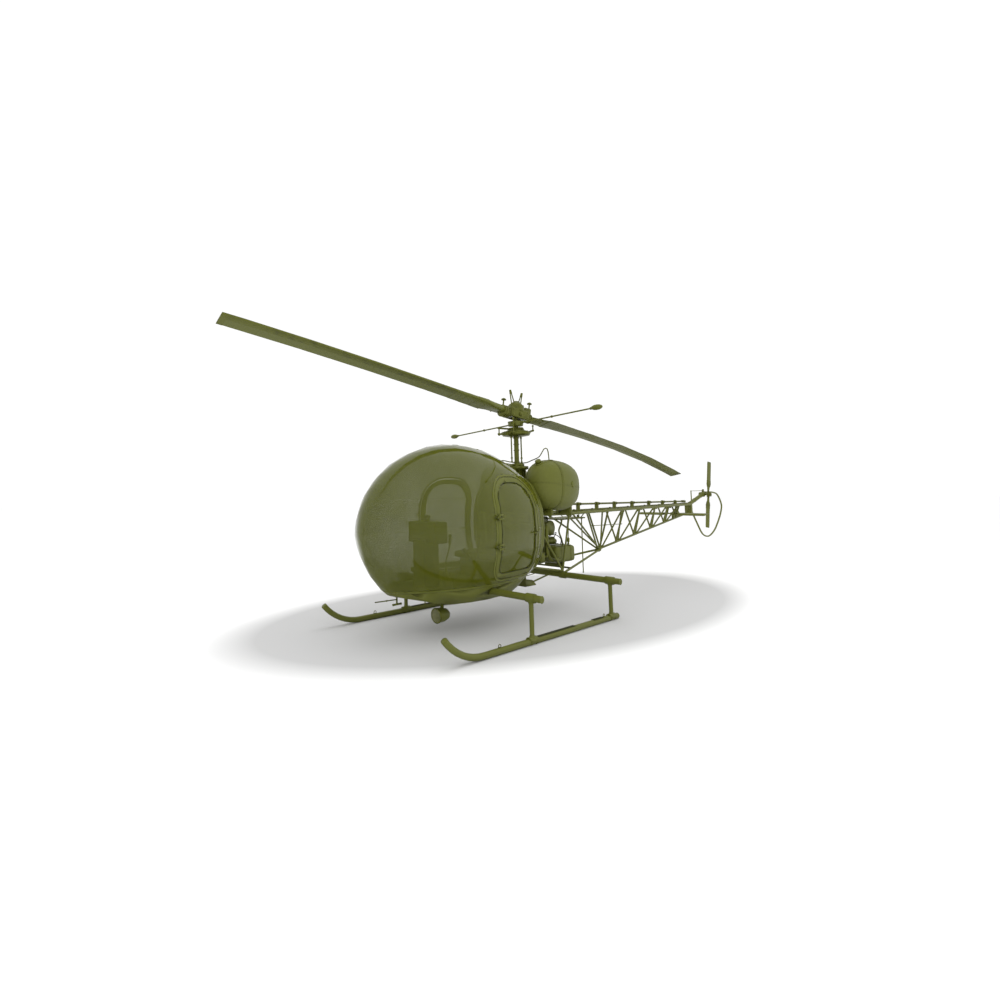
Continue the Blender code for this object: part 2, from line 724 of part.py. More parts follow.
def accessories():
    """Gear case, magnetos, starter and air cleaner on the engine's rear side."""
    rear = ENGINE_X - 0.130 - GAP
    pieces = [
        box((rear - 0.140, -0.120, 0.950), (rear, 0.120, 1.330), 0.015),
        rod((rear - 0.100, 0.060, 1.000), (-0.740, 0.060, 1.000), 0.060, 12),
        rod((-0.520, -0.190, 1.210), (-0.520, 0.190, 1.210), 0.115, 16),
        rod((rear - 0.100, 0.0, 1.210), (-0.520, 0.0, 1.210), 0.050, 10),
        rod((-0.720, 0.060, 0.985), (-0.800, 0.060, 0.985), 0.040, 10),
    ]
    for side in (1, -1):
        pieces.append(rod((rear - 0.100, side * 0.080, 1.290), (rear - 0.240, side * 0.080, 1.290), 0.042, 10))
    return fuse(pieces)


name_piece(accessories(), "engine_accessories", OLIVE_METAL)
for side_name, side in SIDES:
    name_piece(tank_form(side), f"fuel_tank_{side_name}", OLIVE, (TANK_X, side * TANK_Y, TANK_Z))


# Tail boom

def boom_half(x):
    share = (x - BOOM_FRONT_X) / (BOOM_END_X - BOOM_FRONT_X)
    return BOOM_FRONT_HALF + (BOOM_END_HALF - BOOM_FRONT_HALF) * share


def keel_z(x):
    return KEEL_Z + KEEL_RISE * (KEEL_X - x)


FIRST_HANGER_X = -1.583
STATIONS = (KEEL_X, -2.748, -3.388, -4.042, -4.620, -5.190)


def hanger(x):
    z = shaft_z(x)
    return [
        box((x - 0.022, -boom_half(x), BOOM_Z - 0.010), (x + 0.022, boom_half(x), BOOM_Z + 0.010)),
        box((x - 0.020, -0.026, BOOM_Z - 0.005), (x + 0.020, 0.026, z)),
        rod((x - 0.020, 0, z), (x + 0.020, 0, z), 0.032, 12),
    ]


def shaft_z(x):
    share = (x - SHAFT_FRONT_X) / (SHAFT_END_X - SHAFT_FRONT_X)
    return SHAFT_FRONT_Z + (SHAFT_END_Z - SHAFT_FRONT_Z) * share


def tail_boom():
    """Tubes that share a node start a little apart, so each one meets only a longeron or the keel's ball."""
    apart = BRACE_R * 1.2
    keel = Vector((KEEL_X, 0, KEEL_Z))
    keel_end = Vector((KEEL_END_X, 0, keel_z(KEEL_END_X)))
    pieces = [rod(keel, keel_end, LONGERON_R * 0.85, 8), full_ball(keel, (0.050, 0.050, 0.050), 1.0, 8, 12)]
    for side in (1, -1):
        front = Vector((BOOM_FRONT_X, side * BOOM_FRONT_HALF, BOOM_Z))
        end = Vector((BOOM_END_X, side * BOOM_END_HALF, BOOM_Z))
        pieces.append(rod(front - Vector((0.010, 0, 0)), end, LONGERON_R, 8))
        pieces.append(rod(front, front - Vector((0.030, 0, 0)), 0.034, 12))
        pieces.append(rod(keel + Vector((0, side * apart, 0)), (KEEL_X, side * boom_half(KEEL_X), BOOM_Z), BRACE_R, 6))
        for x in STATIONS[1:]:
            near = x + side * apart
            pieces.append(rod((near, 0, keel_z(near)), (near, side * boom_half(x), BOOM_Z), BRACE_R, 6))
        for x, after in zip(STATIONS, STATIONS[1:]):
            start = x - (4.5 + side) * apart
            top = after + 4.5 * apart
            pieces.append(rod((start, 0, keel_z(start)), (top, side * boom_half(top), BOOM_Z), BRACE_R, 6))
        pieces.append(rod(keel + Vector((0, side * apart, 0)), front - Vector((0.050, 0, 0)), BRACE_R, 8))
        top = BOOM_FRONT_X - 0.550
        pieces.append(rod(keel + Vector((-0.006, side * apart, 0.038)), (top, side * boom_half(top), BOOM_Z), BRACE_R, 6))
        for x in (TRAY_REAR_X + 0.100, BOOM_FRONT_X - 0.070):
            pieces.append(rod((x, side * (TRAY_HALF - 0.020), TRAY_Z), (x, side * boom_half(x), BOOM_Z), 0.009, 6))
        pieces.append(rod(keel + Vector((0, side * apart, -0.010)),
                          (CROSS_REAR_X - SADDLE_R - 0.004, side * FRAME_Y, CROSS_Z + 0.030), BRACE_R * 1.2, 8))
    for x in (FIRST_HANGER_X, *STATIONS):
        pieces += hanger(x)
    for a, b in zip((FIRST_HANGER_X, *STATIONS), STATIONS):
        pieces.append(rod((a - 0.060, boom_half(a), BOOM_Z), (b + 0.060, -boom_half(b), BOOM_Z), BRACE_R * 0.8, 6))
    pieces.append(box((TRAY_REAR_X, -TRAY_HALF, TRAY_Z - 0.010), (-0.800, TRAY_HALF, TRAY_Z + 0.010)))
    plate = [(-5.420, 0, keel_z(-5.420)), (-5.060, 0, keel_z(-5.060)), (-5.200, 0, BOOM_Z - 0.010)]
    pieces.append(skin([[Vector((x, y, z)) for x, _, z in plate] for y in (-0.006, 0.006)]))
    pieces.append(box((BOOM_END_X - 0.060, -0.070, keel_z(KEEL_END_X) - 0.030),
                      (BOOM_END_X + 0.020, 0.070, BOOM_Z + 0.030), 0.012))
    pieces.append(box((ELEVATOR_X - 0.018, -0.020, keel_z(ELEVATOR_X)), (ELEVATOR_X + 0.018, 0.020, ELEVATOR_Z)))
    pieces.append(rod((ELEVATOR_X, -0.040, ELEVATOR_Z), (ELEVATOR_X, 0.040, ELEVATOR_Z), 0.028, 12))
    pieces.append(rod((CRADLE_X, -0.342, 0.592), (CRADLE_X, 0.342, 0.592), BRACE_R, 8))
    pieces.append(box((CRADLE_X - 0.030, -0.120, 0.592), (CRADLE_X + 0.030, 0.180, OIL_TANK_LOW_Z - GAP)))
    boom = fuse(pieces)
    shaft = rod((SHAFT_FRONT_X, 0, SHAFT_FRONT_Z), (SHAFT_END_X, 0, SHAFT_END_Z), SHAFT_R + 0.0006, 12)
    return cut(boom, [shaft, rod((ELEVATOR_X, -1, ELEVATOR_Z), (ELEVATOR_X, 1, ELEVATOR_Z), 0.0148, 10)])


name_piece(tail_boom(), "tail_boom", OLIVE)
name_piece(rod((SHAFT_FRONT_X, 0, SHAFT_FRONT_Z), (SHAFT_END_X, 0, SHAFT_END_Z), SHAFT_R, 12),
           "tail_drive_shaft", OLIVE_METAL, (SHAFT_FRONT_X, 0, SHAFT_FRONT_Z))

BOOM_FACE_X = BOOM_END_X - 0.060 - GAP
STRUT_START = Vector((BOOM_FACE_X + 0.020, 0, BOOM_Z - 0.004))


TAIL_STUB = Vector((-0.130, 0, 0.034))


POST_X = -5.985
POST_TOP_Z = 1.710


def tail_gearbox():
    centre = Vector((TAIL_X, 0, TAIL_Z))
    ahead = box((BOOM_FACE_X, -0.2, BOOM_Z - 0.2), (BOOM_FACE_X + 0.2, 0.2, BOOM_Z + 0.2))
    casing = fuse([
        rod(STRUT_START, centre, 0.040, 12),
        turned(centre - Vector((0, 0.070, 0)), (0, 1, 0), [(0.0, 0.035), (0.015, 0.052), (0.100, 0.055),
                                                          (0.120, 0.045)], 14),
        rod(centre, centre + TAIL_STUB, 0.034, 10),
        rod(centre, centre + Vector((-0.050, 0, 0.110)), 0.022, 8),
        rod((POST_X, 0, BOOM_Z), (POST_X, 0, POST_TOP_Z), 0.011, 8),
        rod((POST_X, 0, POST_TOP_Z - 0.012), centre + Vector((-0.045, 0, 0.085)), 0.006, 6),
    ])
    return cut(casing, [ahead])


name_piece(tail_gearbox(), "tail_gearbox", OLIVE, (TAIL_X, 0, TAIL_Z))

GUARD_PATH = (
    # x, z along the loop from the gearbox round to the boom's end
    (-6.900, 1.658), (-7.130, 1.652), (-7.400, 1.590), (-7.600, 1.370), (-7.560, 1.200),
    (-7.400, 1.010), (-7.150, 0.800), (-6.870, 0.680), (-6.640, 0.672), (-6.420, 0.760), (-6.200, 0.990),
    (-6.010, 1.205), (-5.940, 1.285), (BOOM_FACE_X - 0.040, 1.310), (BOOM_FACE_X - 0.020, 1.310), (BOOM_FACE_X, 1.310),
)


def tail_guard():
    along = TAIL_STUB.normalized()
    end = Vector((TAIL_X, 0, TAIL_Z)) + TAIL_STUB
    # three points in line keep the tube square to the stub it butts on
    path = [end + along * step for step in (GAP, 0.030, 0.060)] + [(x, 0, z) for x, z in GUARD_PATH]
    return pipe(smooth_path(path, 2), 0.018, 6)


name_piece(tail_guard(), "tail_guard", OLIVE)


# Fittings outside

def landing_lamp():
    centre = Vector((1.700, 0.080, 0.235))
    return fuse([
        turned(centre + Vector((-0.110, 0, 0)), (1, 0, 0), [(0.0, 0.030), (0.040, 0.070), (0.110, 0.090),
                                                           (0.200, 0.093), (0.215, 0.085)], 16),
        rod(centre, (1.700, 0.080, BELLY_Z - GAP), 0.024, 8),
    ])


PROBE_X = 2.375


def pitot_tube():
    """Probe and bumper foot on a short post under the chin."""
    above = prism_y([(CHIN_X, 1), (CHIN_TIP_X, 1)] + chin_line(2 * GAP), -1, 1)
    return cut(fuse([
        rod((PROBE_X, 0, 0.445), (PROBE_X, 0, 0.600), 0.011, 8),
        rod((PROBE_X - 0.065, 0, 0.447), (PROBE_X + 0.060, 0, 0.447), 0.012, 8),
        pipe([(PROBE_X - 0.005, 0, 0.505), (PROBE_X + 0.150, 0, 0.509), (PROBE_X + 0.330, 0, 0.515)], 0.007, 6),
    ]), [above])


def tank_vent_line():
    """One pipe that joins the tanks' tops, with a raised loop over the left tank."""
    path = smooth_path([(-0.110, 0.500, 2.150), (-0.100, 0.500, 2.300), (-0.070, 0.500, 2.390), (-0.020, 0.480, 2.385),
                        (0.010, 0.440, 2.300), (-0.020, 0.360, 2.262), (-0.080, 0.210, 2.235), (-0.130, 0.080, 2.210),
                        (-0.130, -0.080, 2.210), (-0.080, -0.210, 2.235), (-0.060, -0.340, 2.262),
                        (-0.060, -0.420, 2.220), (-0.060, -0.430, 2.120)], 2)
    return cut(pipe(path, 0.008, 6), [tank_form(1, GAP), tank_form(-1, GAP)])


name_piece(tank_vent_line(), "tank_vent_line", OLIVE_METAL)
name_piece(rod((-1.465, 0.130, TRAY_Z - 0.010 - GAP), (-1.455, 0.130, 0.428), 0.009, 8), "whip_antenna", OLIVE)
name_piece(pitot_tube(), "pitot_tube", OLIVE_METAL)
name_piece(landing_lamp(), "landing_lamp", OLIVE)


# Main rotor: the mast turns about Z, and the head sits on it in its parked tilt

MAST = empty("main_rotor_axis", (0, 0, DECK_Z), MACHINE, (0, 0, ROTOR_AZIMUTH))
HEAD = empty("rotor_head_pivot", (0, 0, HUB_Z - DECK_Z), MAST, (0, -ROTOR_TILT, 0))


HUB_BORE_Y = 0.055      # half width of the slot the mast stands in


def mast():
    top = HUB_Z - DECK_Z
    pin = HUB_BORE_Y - 0.0005
    return fuse([
        turned((0, 0, GAP), (0, 0, 1), [(0.0, 0.110), (0.040, 0.110), (0.050, MAST_R), (top - 0.050, MAST_R),
                                        (top - 0.040, 0.045), (top + 0.090, 0.045)], 16),
        rod((0, -pin, top), (0, pin, top), 0.022, 12),
    ])


name_piece(mast(), "mast", OLIVE_METAL, parent=MAST)


def stabilizer_bar():
    middle = BAR_Z - DECK_Z
    rise = math.tan(math.radians(BAR_TILT))
    pieces = [
        turned((0, 0, middle - 0.035), (0, 0, 1), [(0.0, 0.110), (0.070, 0.120)], 16),
        rod((0, -BAR_HALF, middle - BAR_HALF * rise), (0, BAR_HALF, middle + BAR_HALF * rise), 0.011, 8),
    ]
    for side in (1, -1):
        spot = Vector((0, side * (BAR_HALF - 0.02), middle + side * (BAR_HALF - 0.02) * rise))
        pieces.append(full_ball(spot, (0.038, 0.090, 0.038), 1.0, 6, 12))
    bar = fuse(pieces)
    return cut(bar, [rod((0, 0, -1), (0, 0, 3), MAST_R + GAP, 16)])


name_piece(stabilizer_bar(), "stabilizer_bar", OLIVE, parent=MAST)


def mixing_levers():
    """Bowl on the mast with levers fore and aft, upright links at their ends and push rods down beside the mast."""
    low = 2.600 - DECK_Z
    pieces = [
        turned((0, 0, low), (0, 0, 1), [(0.0, 0.090), (0.018, 0.200), (0.070, 0.225), (0.100, 0.130), (0.140, 0.110)],
               18),
        rod((0.180, 0, low + 0.030), (0.368, 0, low + 0.030), 0.014, 8),
        rod((0.090, 0, low + 0.116), (0.368, 0, low + 0.116), 0.014, 8),
        rod((0.356, 0, low + 0.020), (0.356, 0, low + 0.128), 0.010, 8),
        rod((-0.180, 0, low + 0.060), (-0.388, 0, low + 0.118), 0.016, 8),
        rod((-0.380, 0, low + 0.105), (-0.380, 0, low + 0.190), 0.010, 8),
        rod((0.190, 0.075, low + 0.060), (0.194, 0.135, low + 0.060), 0.012, 8),
        rod((0.194, 0.135, low + 0.050), (0.194, 0.135, low + 0.265), 0.009, 8),
    ]
    for side in (1, -1):
        pieces.append(rod((side * 0.105, 0, 0.060), (side * 0.105, 0, low + 0.030), 0.011, 8))
    levers = fuse(pieces)
    return cut(levers, [rod((0, 0, -1), (0, 0, 3), MAST_R + GAP, 16)])


name_piece(mixing_levers(), "mixing_levers", OLIVE_METAL, parent=MAST)

# span, chord, thickness of a blade's sections
BLADE_SECTIONS = (
    (0.300, 0.170, 0.100), (0.520, 0.200, 0.085), (0.640, 0.250, 0.060), (0.900, 0.245, 0.040),
    (1.700, 0.235, 0.034), (2.600, 0.230, 0.032), (3.500, 0.225, 0.030), (4.300, 0.225, 0.028),
    (ROTOR_R, 0.220, 0.024),
)
# share of chord ahead of the span line, share of thickness up
BLADE_PROFILE = ((0.45, 0.0), (0.41, 0.42), (0.27, 0.50), (0.05, 0.44), (-0.25, 0.22), (-0.55, 0.02),
                 (-0.55, -0.02), (-0.25, -0.16), (0.05, -0.36), (0.27, -0.44), (0.41, -0.38))
BLADE_CONE = 0.022
BLADE_DROOP = {"forward": 0.067, "aft": 0.270}


def blade(name, direction):
    """direction is 1 for the forward blade and -1 for the aft one; both lean the same way."""
    feather = math.radians(ROTOR_FEATHER[name])
    rings = []
    for span, chord, thick in BLADE_SECTIONS:
        lift = BLADE_CONE * span - BLADE_DROOP[name] * (span / ROTOR_R) ** 3
        ring = []
        for ahead, up in BLADE_PROFILE:
            across, above = direction * ahead * chord, up * thick
            ring.append(Vector((direction * span,
                                across * math.cos(feather) - above * math.sin(feather),
                                lift + across * math.sin(feather) + above * math.cos(feather))))
        rings.append(ring)
    return skin(rings)


for name, direction in (("forward", 1), ("aft", -1)):
    name_piece(blade(name, direction), f"main_blade_{name}", OLIVE, parent=HEAD)


# foot, tip and half width of each bent rod; foot and top of each post, along the blades and up
HAIRPINS = ((0.066, 0.150, 0.146, 0.335, 0.034), (-0.060, 0.150, -0.093, 0.340, 0.031))
POSTS = ((0.272, 0.040, 0.185), (-0.284, 0.100, 0.250))


def hairpin(foot_x, foot_z, tip_x, tip_z, wide):
    """A bent rod that stands on the hub in the plane of the blades, with a swollen tip."""
    foot, tip = Vector((foot_x, 0, foot_z)), Vector((tip_x, 0, tip_z))
    along = (tip - foot).normalized()
    across = along.cross(Vector((0, 1, 0))) * wide
    sides = [rod(foot + across * turn, tip + across * turn * 0.30, 0.009, 6) for turn in (1, -1)]
    return sides + [rod(tip - along * 0.030, tip + along * 0.030, 0.022, 8, 0.017)]


def rotor_hub():
    pieces = [
        box((-0.190, -0.110, -0.060), (0.190, 0.110, 0.085), 0.02),
        turned((0, 0, 0.060), (0, 0, 1), [(0.0, 0.125), (0.080, 0.120), (0.110, 0.090), (0.155, 0.040)], 14),
        box((-0.2985, -0.040, 0.020), (-0.170, 0.040, 0.160), 0.015),
    ]
    for side, thick in ((1, 0.088), (-1, 0.072)):
        pieces.append(turned((side * 0.150, 0, 0.005), (side, 0, 0), [(0.0, 0.070), (0.050, thick),
                                                                     (0.150 - GAP, thick - 0.004)], 14))
    for x, low, high in POSTS:
        pieces.append(rod((x, 0, low), (x, 0, high), 0.012, 8))
        pieces.append(turned((x, 0, high - 0.014), (0, 0, 1), [(0.0, 0.038), (0.016, 0.036), (0.030, 0.014)], 12))
    for shape in HAIRPINS:
        pieces += hairpin(*shape)
    hub = fuse(pieces)
    return cut(hub, [box((-0.095, -HUB_BORE_Y, -0.2), (0.095, HUB_BORE_Y, 0.120))])


name_piece(rotor_hub(), "rotor_hub", OLIVE_METAL, parent=HEAD)


# Tail rotor: turns about Y beside its gearbox

TAIL_ROTOR = empty("tail_rotor_axis", (TAIL_X, TAIL_Y, TAIL_Z), MACHINE, (0, -TAIL_LEAN, 0))
# span, chord, thickness
TAIL_SECTIONS = ((0.070, 0.050, 0.030), (0.160, 0.080, 0.024), (0.240, 0.125, 0.020), (0.700, 0.125, 0.016),
                 (TAIL_R, 0.110, 0.012))


def tail_blade(direction):
    pitch = math.radians(-14)
    rings = []
    for span, chord, thick in TAIL_SECTIONS:
        ring = []
        for ahead, up in BLADE_PROFILE:
            along, out = direction * ahead * chord, up * thick
            ring.append(Vector((along * math.cos(pitch) - out * math.sin(pitch),
                                along * math.sin(pitch) + out * math.cos(pitch), direction * span)))
        rings.append(ring)
    return skin(rings)


def tail_hub():
    return fuse([
        turned((0, -0.0755, 0), (0, 1, 0), [(0.0, 0.018), (0.045, 0.018), (0.050, 0.045), (0.105, 0.045),
                                           (0.125, 0.025)], 14),
        rod((0, 0, -0.070 + GAP), (0, 0, 0.070 - GAP), 0.026, 10),
    ])


name_piece(tail_hub(), "tail_rotor_hub", OLIVE_METAL, parent=TAIL_ROTOR)
for name, direction in (("upper", 1), ("lower", -1)):
    name_piece(tail_blade(direction), f"tail_blade_{name}", OLIVE, parent=TAIL_ROTOR)


# Elevator: turns on the tube that passes through the boom

ELEVATOR = empty("elevator_axis", (ELEVATOR_X, 0, ELEVATOR_Z), MACHINE)


def elevator_surface(side):
    pitch = math.radians(ELEVATOR_PITCH)
    rings = []
    for y, chord in ((0.150, 0.300), (0.600, 0.290), (ELEVATOR_HALF, 0.250)):
        flat = [(ahead * chord + 0.02, up * 0.044) for ahead, up in BLADE_PROFILE]
        rings.append([Vector((along * math.cos(pitch) - above * math.sin(pitch), side * y,
                              along * math.sin(pitch) + above * math.cos(pitch))) for along, above in flat])
    surface = skin(rings)
    return cut(surface, [rod((0, side * 0.1, 0), (0, side * 0.30, 0), 0.0143, 10)])


name_piece(rod((0, -0.299, 0), (0, 0.299, 0), 0.014, 10), "elevator_tube", OLIVE_METAL, parent=ELEVATOR)
for side_name, side in SIDES:
    name_piece(elevator_surface(side), f"elevator_{side_name}", OLIVE, parent=ELEVATOR)
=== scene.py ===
# Light helicopter on tube skids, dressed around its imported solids: paint, acrylic cabin, fittings and seats.
# Sizes are in metres in the frame's own axes: +X to the nose, +Y to the left side, +Z up.
import json
import math
from itertools import product

import bmesh
import bpy
from mathutils import Matrix, Vector
from mathutils.bvhtree import BVHTree

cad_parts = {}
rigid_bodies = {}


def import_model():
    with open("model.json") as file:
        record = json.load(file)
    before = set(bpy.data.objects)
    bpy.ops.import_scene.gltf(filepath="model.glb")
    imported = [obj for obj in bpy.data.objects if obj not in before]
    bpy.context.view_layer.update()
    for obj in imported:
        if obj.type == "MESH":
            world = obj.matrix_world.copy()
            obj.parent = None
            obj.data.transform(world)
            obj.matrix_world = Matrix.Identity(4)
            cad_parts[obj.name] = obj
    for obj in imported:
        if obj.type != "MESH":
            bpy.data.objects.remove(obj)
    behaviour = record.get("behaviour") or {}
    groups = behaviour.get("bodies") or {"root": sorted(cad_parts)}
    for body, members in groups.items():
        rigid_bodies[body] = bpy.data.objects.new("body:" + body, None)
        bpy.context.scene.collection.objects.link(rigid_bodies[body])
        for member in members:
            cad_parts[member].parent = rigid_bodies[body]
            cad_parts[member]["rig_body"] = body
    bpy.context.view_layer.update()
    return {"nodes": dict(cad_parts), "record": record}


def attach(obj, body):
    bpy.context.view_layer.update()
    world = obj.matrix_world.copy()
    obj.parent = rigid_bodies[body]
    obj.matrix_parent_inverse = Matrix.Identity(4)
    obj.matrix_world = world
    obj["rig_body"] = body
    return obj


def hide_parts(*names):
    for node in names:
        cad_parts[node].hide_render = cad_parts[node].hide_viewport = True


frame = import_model()

# Places that the solids give

MAST_X = 1.5779
FLOOR_Z = 0.6
BELLY_Z = 0.42
PAN_X = MAST_X + 1.196
CABIN_Z = 1.29
BULKHEAD_X = MAST_X + 0.27
DOOR_REAR_X = MAST_X + 0.4
DOOR_FRONT_X = MAST_X + 1.33
DOOR_LOW_Z = 0.68
DOOR_HIGH_Z = 1.98
DOOR_CORNER = 0.22
ENGINE_AHEAD = -0.06
CYLINDER_Z = (0.82, 1.03, 1.24)
RAIL_X = 0.15
RAIL_Y = 0.15
DECK_Z = 2.15
HUB_Z = 2.935
ROTOR_AZIMUTH = -4.69
ROTOR_TILT = 9.3
BOOM_Z = 1.415
KEEL_Z = 0.747
KEEL_RISE = 0.134
STATIONS = (-1.583, -2.157, -2.748, -3.388, -4.042, -4.62, -5.19)
TAIL_X = MAST_X - 6.57
TAIL_Y = 0.126
TAIL_Z = 1.612
TAIL_LEAN = 11.0
SIDES = (("left", 1), ("right", -1))


def at(x, y, z):
    """A point given from the mast axis at ground level."""
    return Vector((MAST_X + x, y, z))


# Shader node groups

def feed(tree, socket, value):
    """Links another socket into this one, or sets its value."""
    if isinstance(value, bpy.types.NodeSocket):
        tree.links.new(value, socket)
    else:
        socket.default_value = value


def node(tree, kind, **values):
    """Adds a node; a value named after a socket feeds it, and any other is a setting of the node."""
    made = tree.nodes.new(kind)
    for label, value in values.items():
        socket = label.replace("_", " ")
        if socket in made.inputs:
            feed(tree, made.inputs[socket], value)
        else:
            setattr(made, label, value)
    return made


def group(name, inputs, last="Height"):
    """A node group with named inputs and first values; it gives a colour, a roughness and one value more."""
    tree = bpy.data.node_groups.new(name, "ShaderNodeTree")
    for label, value in inputs.items():
        kind = "NodeSocketColor" if isinstance(value, tuple) else "NodeSocketFloat"
        tree.interface.new_socket(label, in_out="INPUT", socket_type=kind).default_value = value
    for kind, label in (("Color", "Colour"), ("Float", "Roughness"), ("Float", last)):
        tree.interface.new_socket(label, in_out="OUTPUT", socket_type=f"NodeSocket{kind}")
    given, made = node(tree, "NodeGroupInput").outputs, node(tree, "NodeGroupOutput").inputs
    return tree, given, made, node(tree, "ShaderNodeTexCoord").outputs["Object"]


def finished(tree, made, *values):
    """Feeds a group's outputs in their order."""
    for socket, value in zip(made, values):
        feed(tree, socket, value)
    return tree


def mixed(tree, factor, first, second):
    """A colour mix of two sockets or colours by a factor socket."""
    mix = node(tree, "ShaderNodeMix", data_type="RGBA", Factor=factor)
    for label, value in (("A", first), ("B", second)):
        feed(tree, [one for one in mix.inputs if one.name == label and one.type == "RGBA"][0], value)
    return [one for one in mix.outputs if one.type == "RGBA"][0]


def ramp(tree, source, low, high, to_low=0.0, to_high=1.0):
    """A value spread from one range to another, held at its ends."""
    spread = node(tree, "ShaderNodeMapRange", Value=source, From_Min=low, From_Max=high, To_Min=to_low,
                  To_Max=to_high)
    return spread.outputs["Result"]


def noise(tree, where, scale, detail=3.0, roughness=0.55):
    made = node(tree, "ShaderNodeTexNoise", Vector=where, Scale=scale, Detail=detail, Roughness=roughness)
    return made.outputs["Fac"]


def stretched(tree, where, scale):
    return node(tree, "ShaderNodeMapping", Vector=where, Scale=scale).outputs["Vector"]


def axes(tree, vector):
    return node(tree, "ShaderNodeSeparateXYZ", Vector=vector).outputs


def math_of(tree, operation, first, *others):
    """The values put together two by two, from the first one on."""
    for other in others:
        made = node(tree, "ShaderNodeMath", operation=operation)
        feed(tree, made.inputs[0], first)
        feed(tree, made.inputs[1], other)
        first = made.outputs["Value"]
    return first


def times(tree, *values):
    return math_of(tree, "MULTIPLY", *values)


def plus(tree, *values):
    return math_of(tree, "ADD", *values)


def field_paint():
    """Brushed-on field paint: faded patches, dust that lies low and on level faces, scuffs, orange peel."""
    tree, given, made, where = group("field_paint", {
        "Paint": (0.098, 0.108, 0.014, 1), "Faded": (0.12, 0.128, 0.024, 1), "Dust": (0.16, 0.15, 0.07, 1),
        "Dust Amount": 0.3, "Gloss": 0.42,
    })
    patches = ramp(tree, noise(tree, where, 2.2), 0.42, 0.7)
    faded = mixed(tree, times(tree, patches, 0.45), given["Paint"], given["Faded"])
    runs = ramp(tree, noise(tree, stretched(tree, where, (9, 9, 1.4)), 2.0, 4.0), 0.5, 0.75)
    low = ramp(tree, axes(tree, where)["Z"], 1.3, 0.0, 0.25, 1.0)
    normal = node(tree, "ShaderNodeNewGeometry").outputs["Normal"]
    level = ramp(tree, axes(tree, normal)["Z"], 0.3, 1.0, 0.25, 1.0)
    dust = times(tree, runs, low, level, given["Dust Amount"])
    scuffs = ramp(tree, noise(tree, where, 26.0, 4.0, 0.6), 0.7, 0.78, 0.0, 0.25)
    dull = plus(tree, times(tree, patches, 0.12), given["Gloss"], times(tree, dust, 0.35))
    peel = times(tree, noise(tree, where, 140.0, 1.0), 0.3)
    return finished(tree, made, mixed(tree, scuffs, mixed(tree, dust, faded, given["Dust"]), given["Faded"]),
                    dull, plus(tree, peel, times(tree, scuffs, -0.8)))


def canvas_weave():
    """Plain canvas: crossed threads a millimetre and a half apart, lighter in random worn patches, with
    painted shade in the hollows between threads.
    """
    # Thread and Worn are made lighter than the cloth: painted light that stands in for light the cabin lacks
    tree, given, made, where = group("canvas_weave", {
        "Thread": (0.2, 0.205, 0.07, 1), "Worn": (0.28, 0.28, 0.12, 1), "Threads": 660.0})
    place = axes(tree, where)
    waves = []
    for axis in "XY":
        along = times(tree, plus(tree, place[axis], place["Z"]), given["Threads"])
        waves.append(math_of(tree, "SINE", along, 0.0))
    weave = times(tree, *waves)
    worn = ramp(tree, noise(tree, where, 7.0, 4.0), 0.45, 0.75, 0.0, 0.6)
    # Painted shade: the hollows between the threads are darkened towards near black
    thread_hollow_shade = ramp(tree, weave, -1.0, 0.4, 0.35, 0.0)
    shade = mixed(tree, worn, given["Thread"], given["Worn"])
    return finished(tree, made, mixed(tree, thread_hollow_shade, shade, (0.02, 0.02, 0.008, 1)),
                    ramp(tree, weave, -1.0, 1.0, 0.95, 0.8), plus(tree, weave, noise(tree, where, 30.0)))


def worked_metal():
    """Machined or drawn metal under thin olive paint: fine lines, oily darker patches."""
    tree, given, made, where = group("worked_metal", {
        "Metal": (0.105, 0.114, 0.018, 1), "Oil": (0.035, 0.037, 0.01, 1), "Oil Amount": 0.5, "Gloss": 0.34})
    oily = times(tree, ramp(tree, noise(tree, where, 9.0, 4.0), 0.5, 0.72), given["Oil Amount"])
    drawn = noise(tree, stretched(tree, where, (40, 40, 900)), 1.0, 2.0)
    return finished(tree, made, mixed(tree, oily, given["Metal"], given["Oil"]),
                    plus(tree, times(tree, drawn, 0.16), given["Gloss"], times(tree, oily, -0.15)),
                    plus(tree, drawn, noise(tree, where, 160.0)))


def hazed_clear():
    """Acrylic with a little haze, rub marks and settled dust along the foot."""
    tree, given, made, where = group("hazed_clear", {
        "Tint": (0.17, 0.185, 0.045, 1), "Haze": (0.26, 0.27, 0.12, 1)}, "Cover")
    foot = ramp(tree, axes(tree, where)["Z"], 0.95, 0.6)
    cloud = ramp(tree, noise(tree, where, 3.0, 4.0), 0.4, 0.75)
    haze = plus(tree, times(tree, cloud, 0.35), times(tree, foot, cloud))
    rubs = ramp(tree, noise(tree, where, 30.0, 4.0, 0.6), 0.6, 0.8, 0.0, 0.08)
    return finished(tree, made, mixed(tree, haze, given["Tint"], given["Haze"]),
                    plus(tree, times(tree, haze, 0.1), rubs), times(tree, haze, 0.2))


FIELD_PAINT = field_paint()
CANVAS_WEAVE = canvas_weave()
WORKED_METAL = worked_metal()
HAZED_CLEAR = hazed_clear()


def surface(name, slot, effect, metallic=0.0, bump=0.05, depth=0.001, coat=0.0, **values):
    """A material of a slot around one of the groups; values fill the group's named inputs."""
    material = bpy.data.materials.new(name)
    material.use_nodes = True
    tree = material.node_tree
    placed = node(tree, "ShaderNodeGroup", node_tree=effect, **values).outputs
    given = {"Metallic": metallic, "Coat Weight": coat, "Coat Roughness": 0.25, "Specular IOR Level": 0.25,
             "Base Color": placed["Colour"], "Roughness": placed["Roughness"]}
    if "Height" in placed:
        relief = node(tree, "ShaderNodeBump", Strength=bump, Distance=depth, Height=placed["Height"])
        given["Normal"] = relief.outputs["Normal"]
    for label, value in given.items():
        feed(tree, tree.nodes["Principled BSDF"].inputs[label], value)
    return material


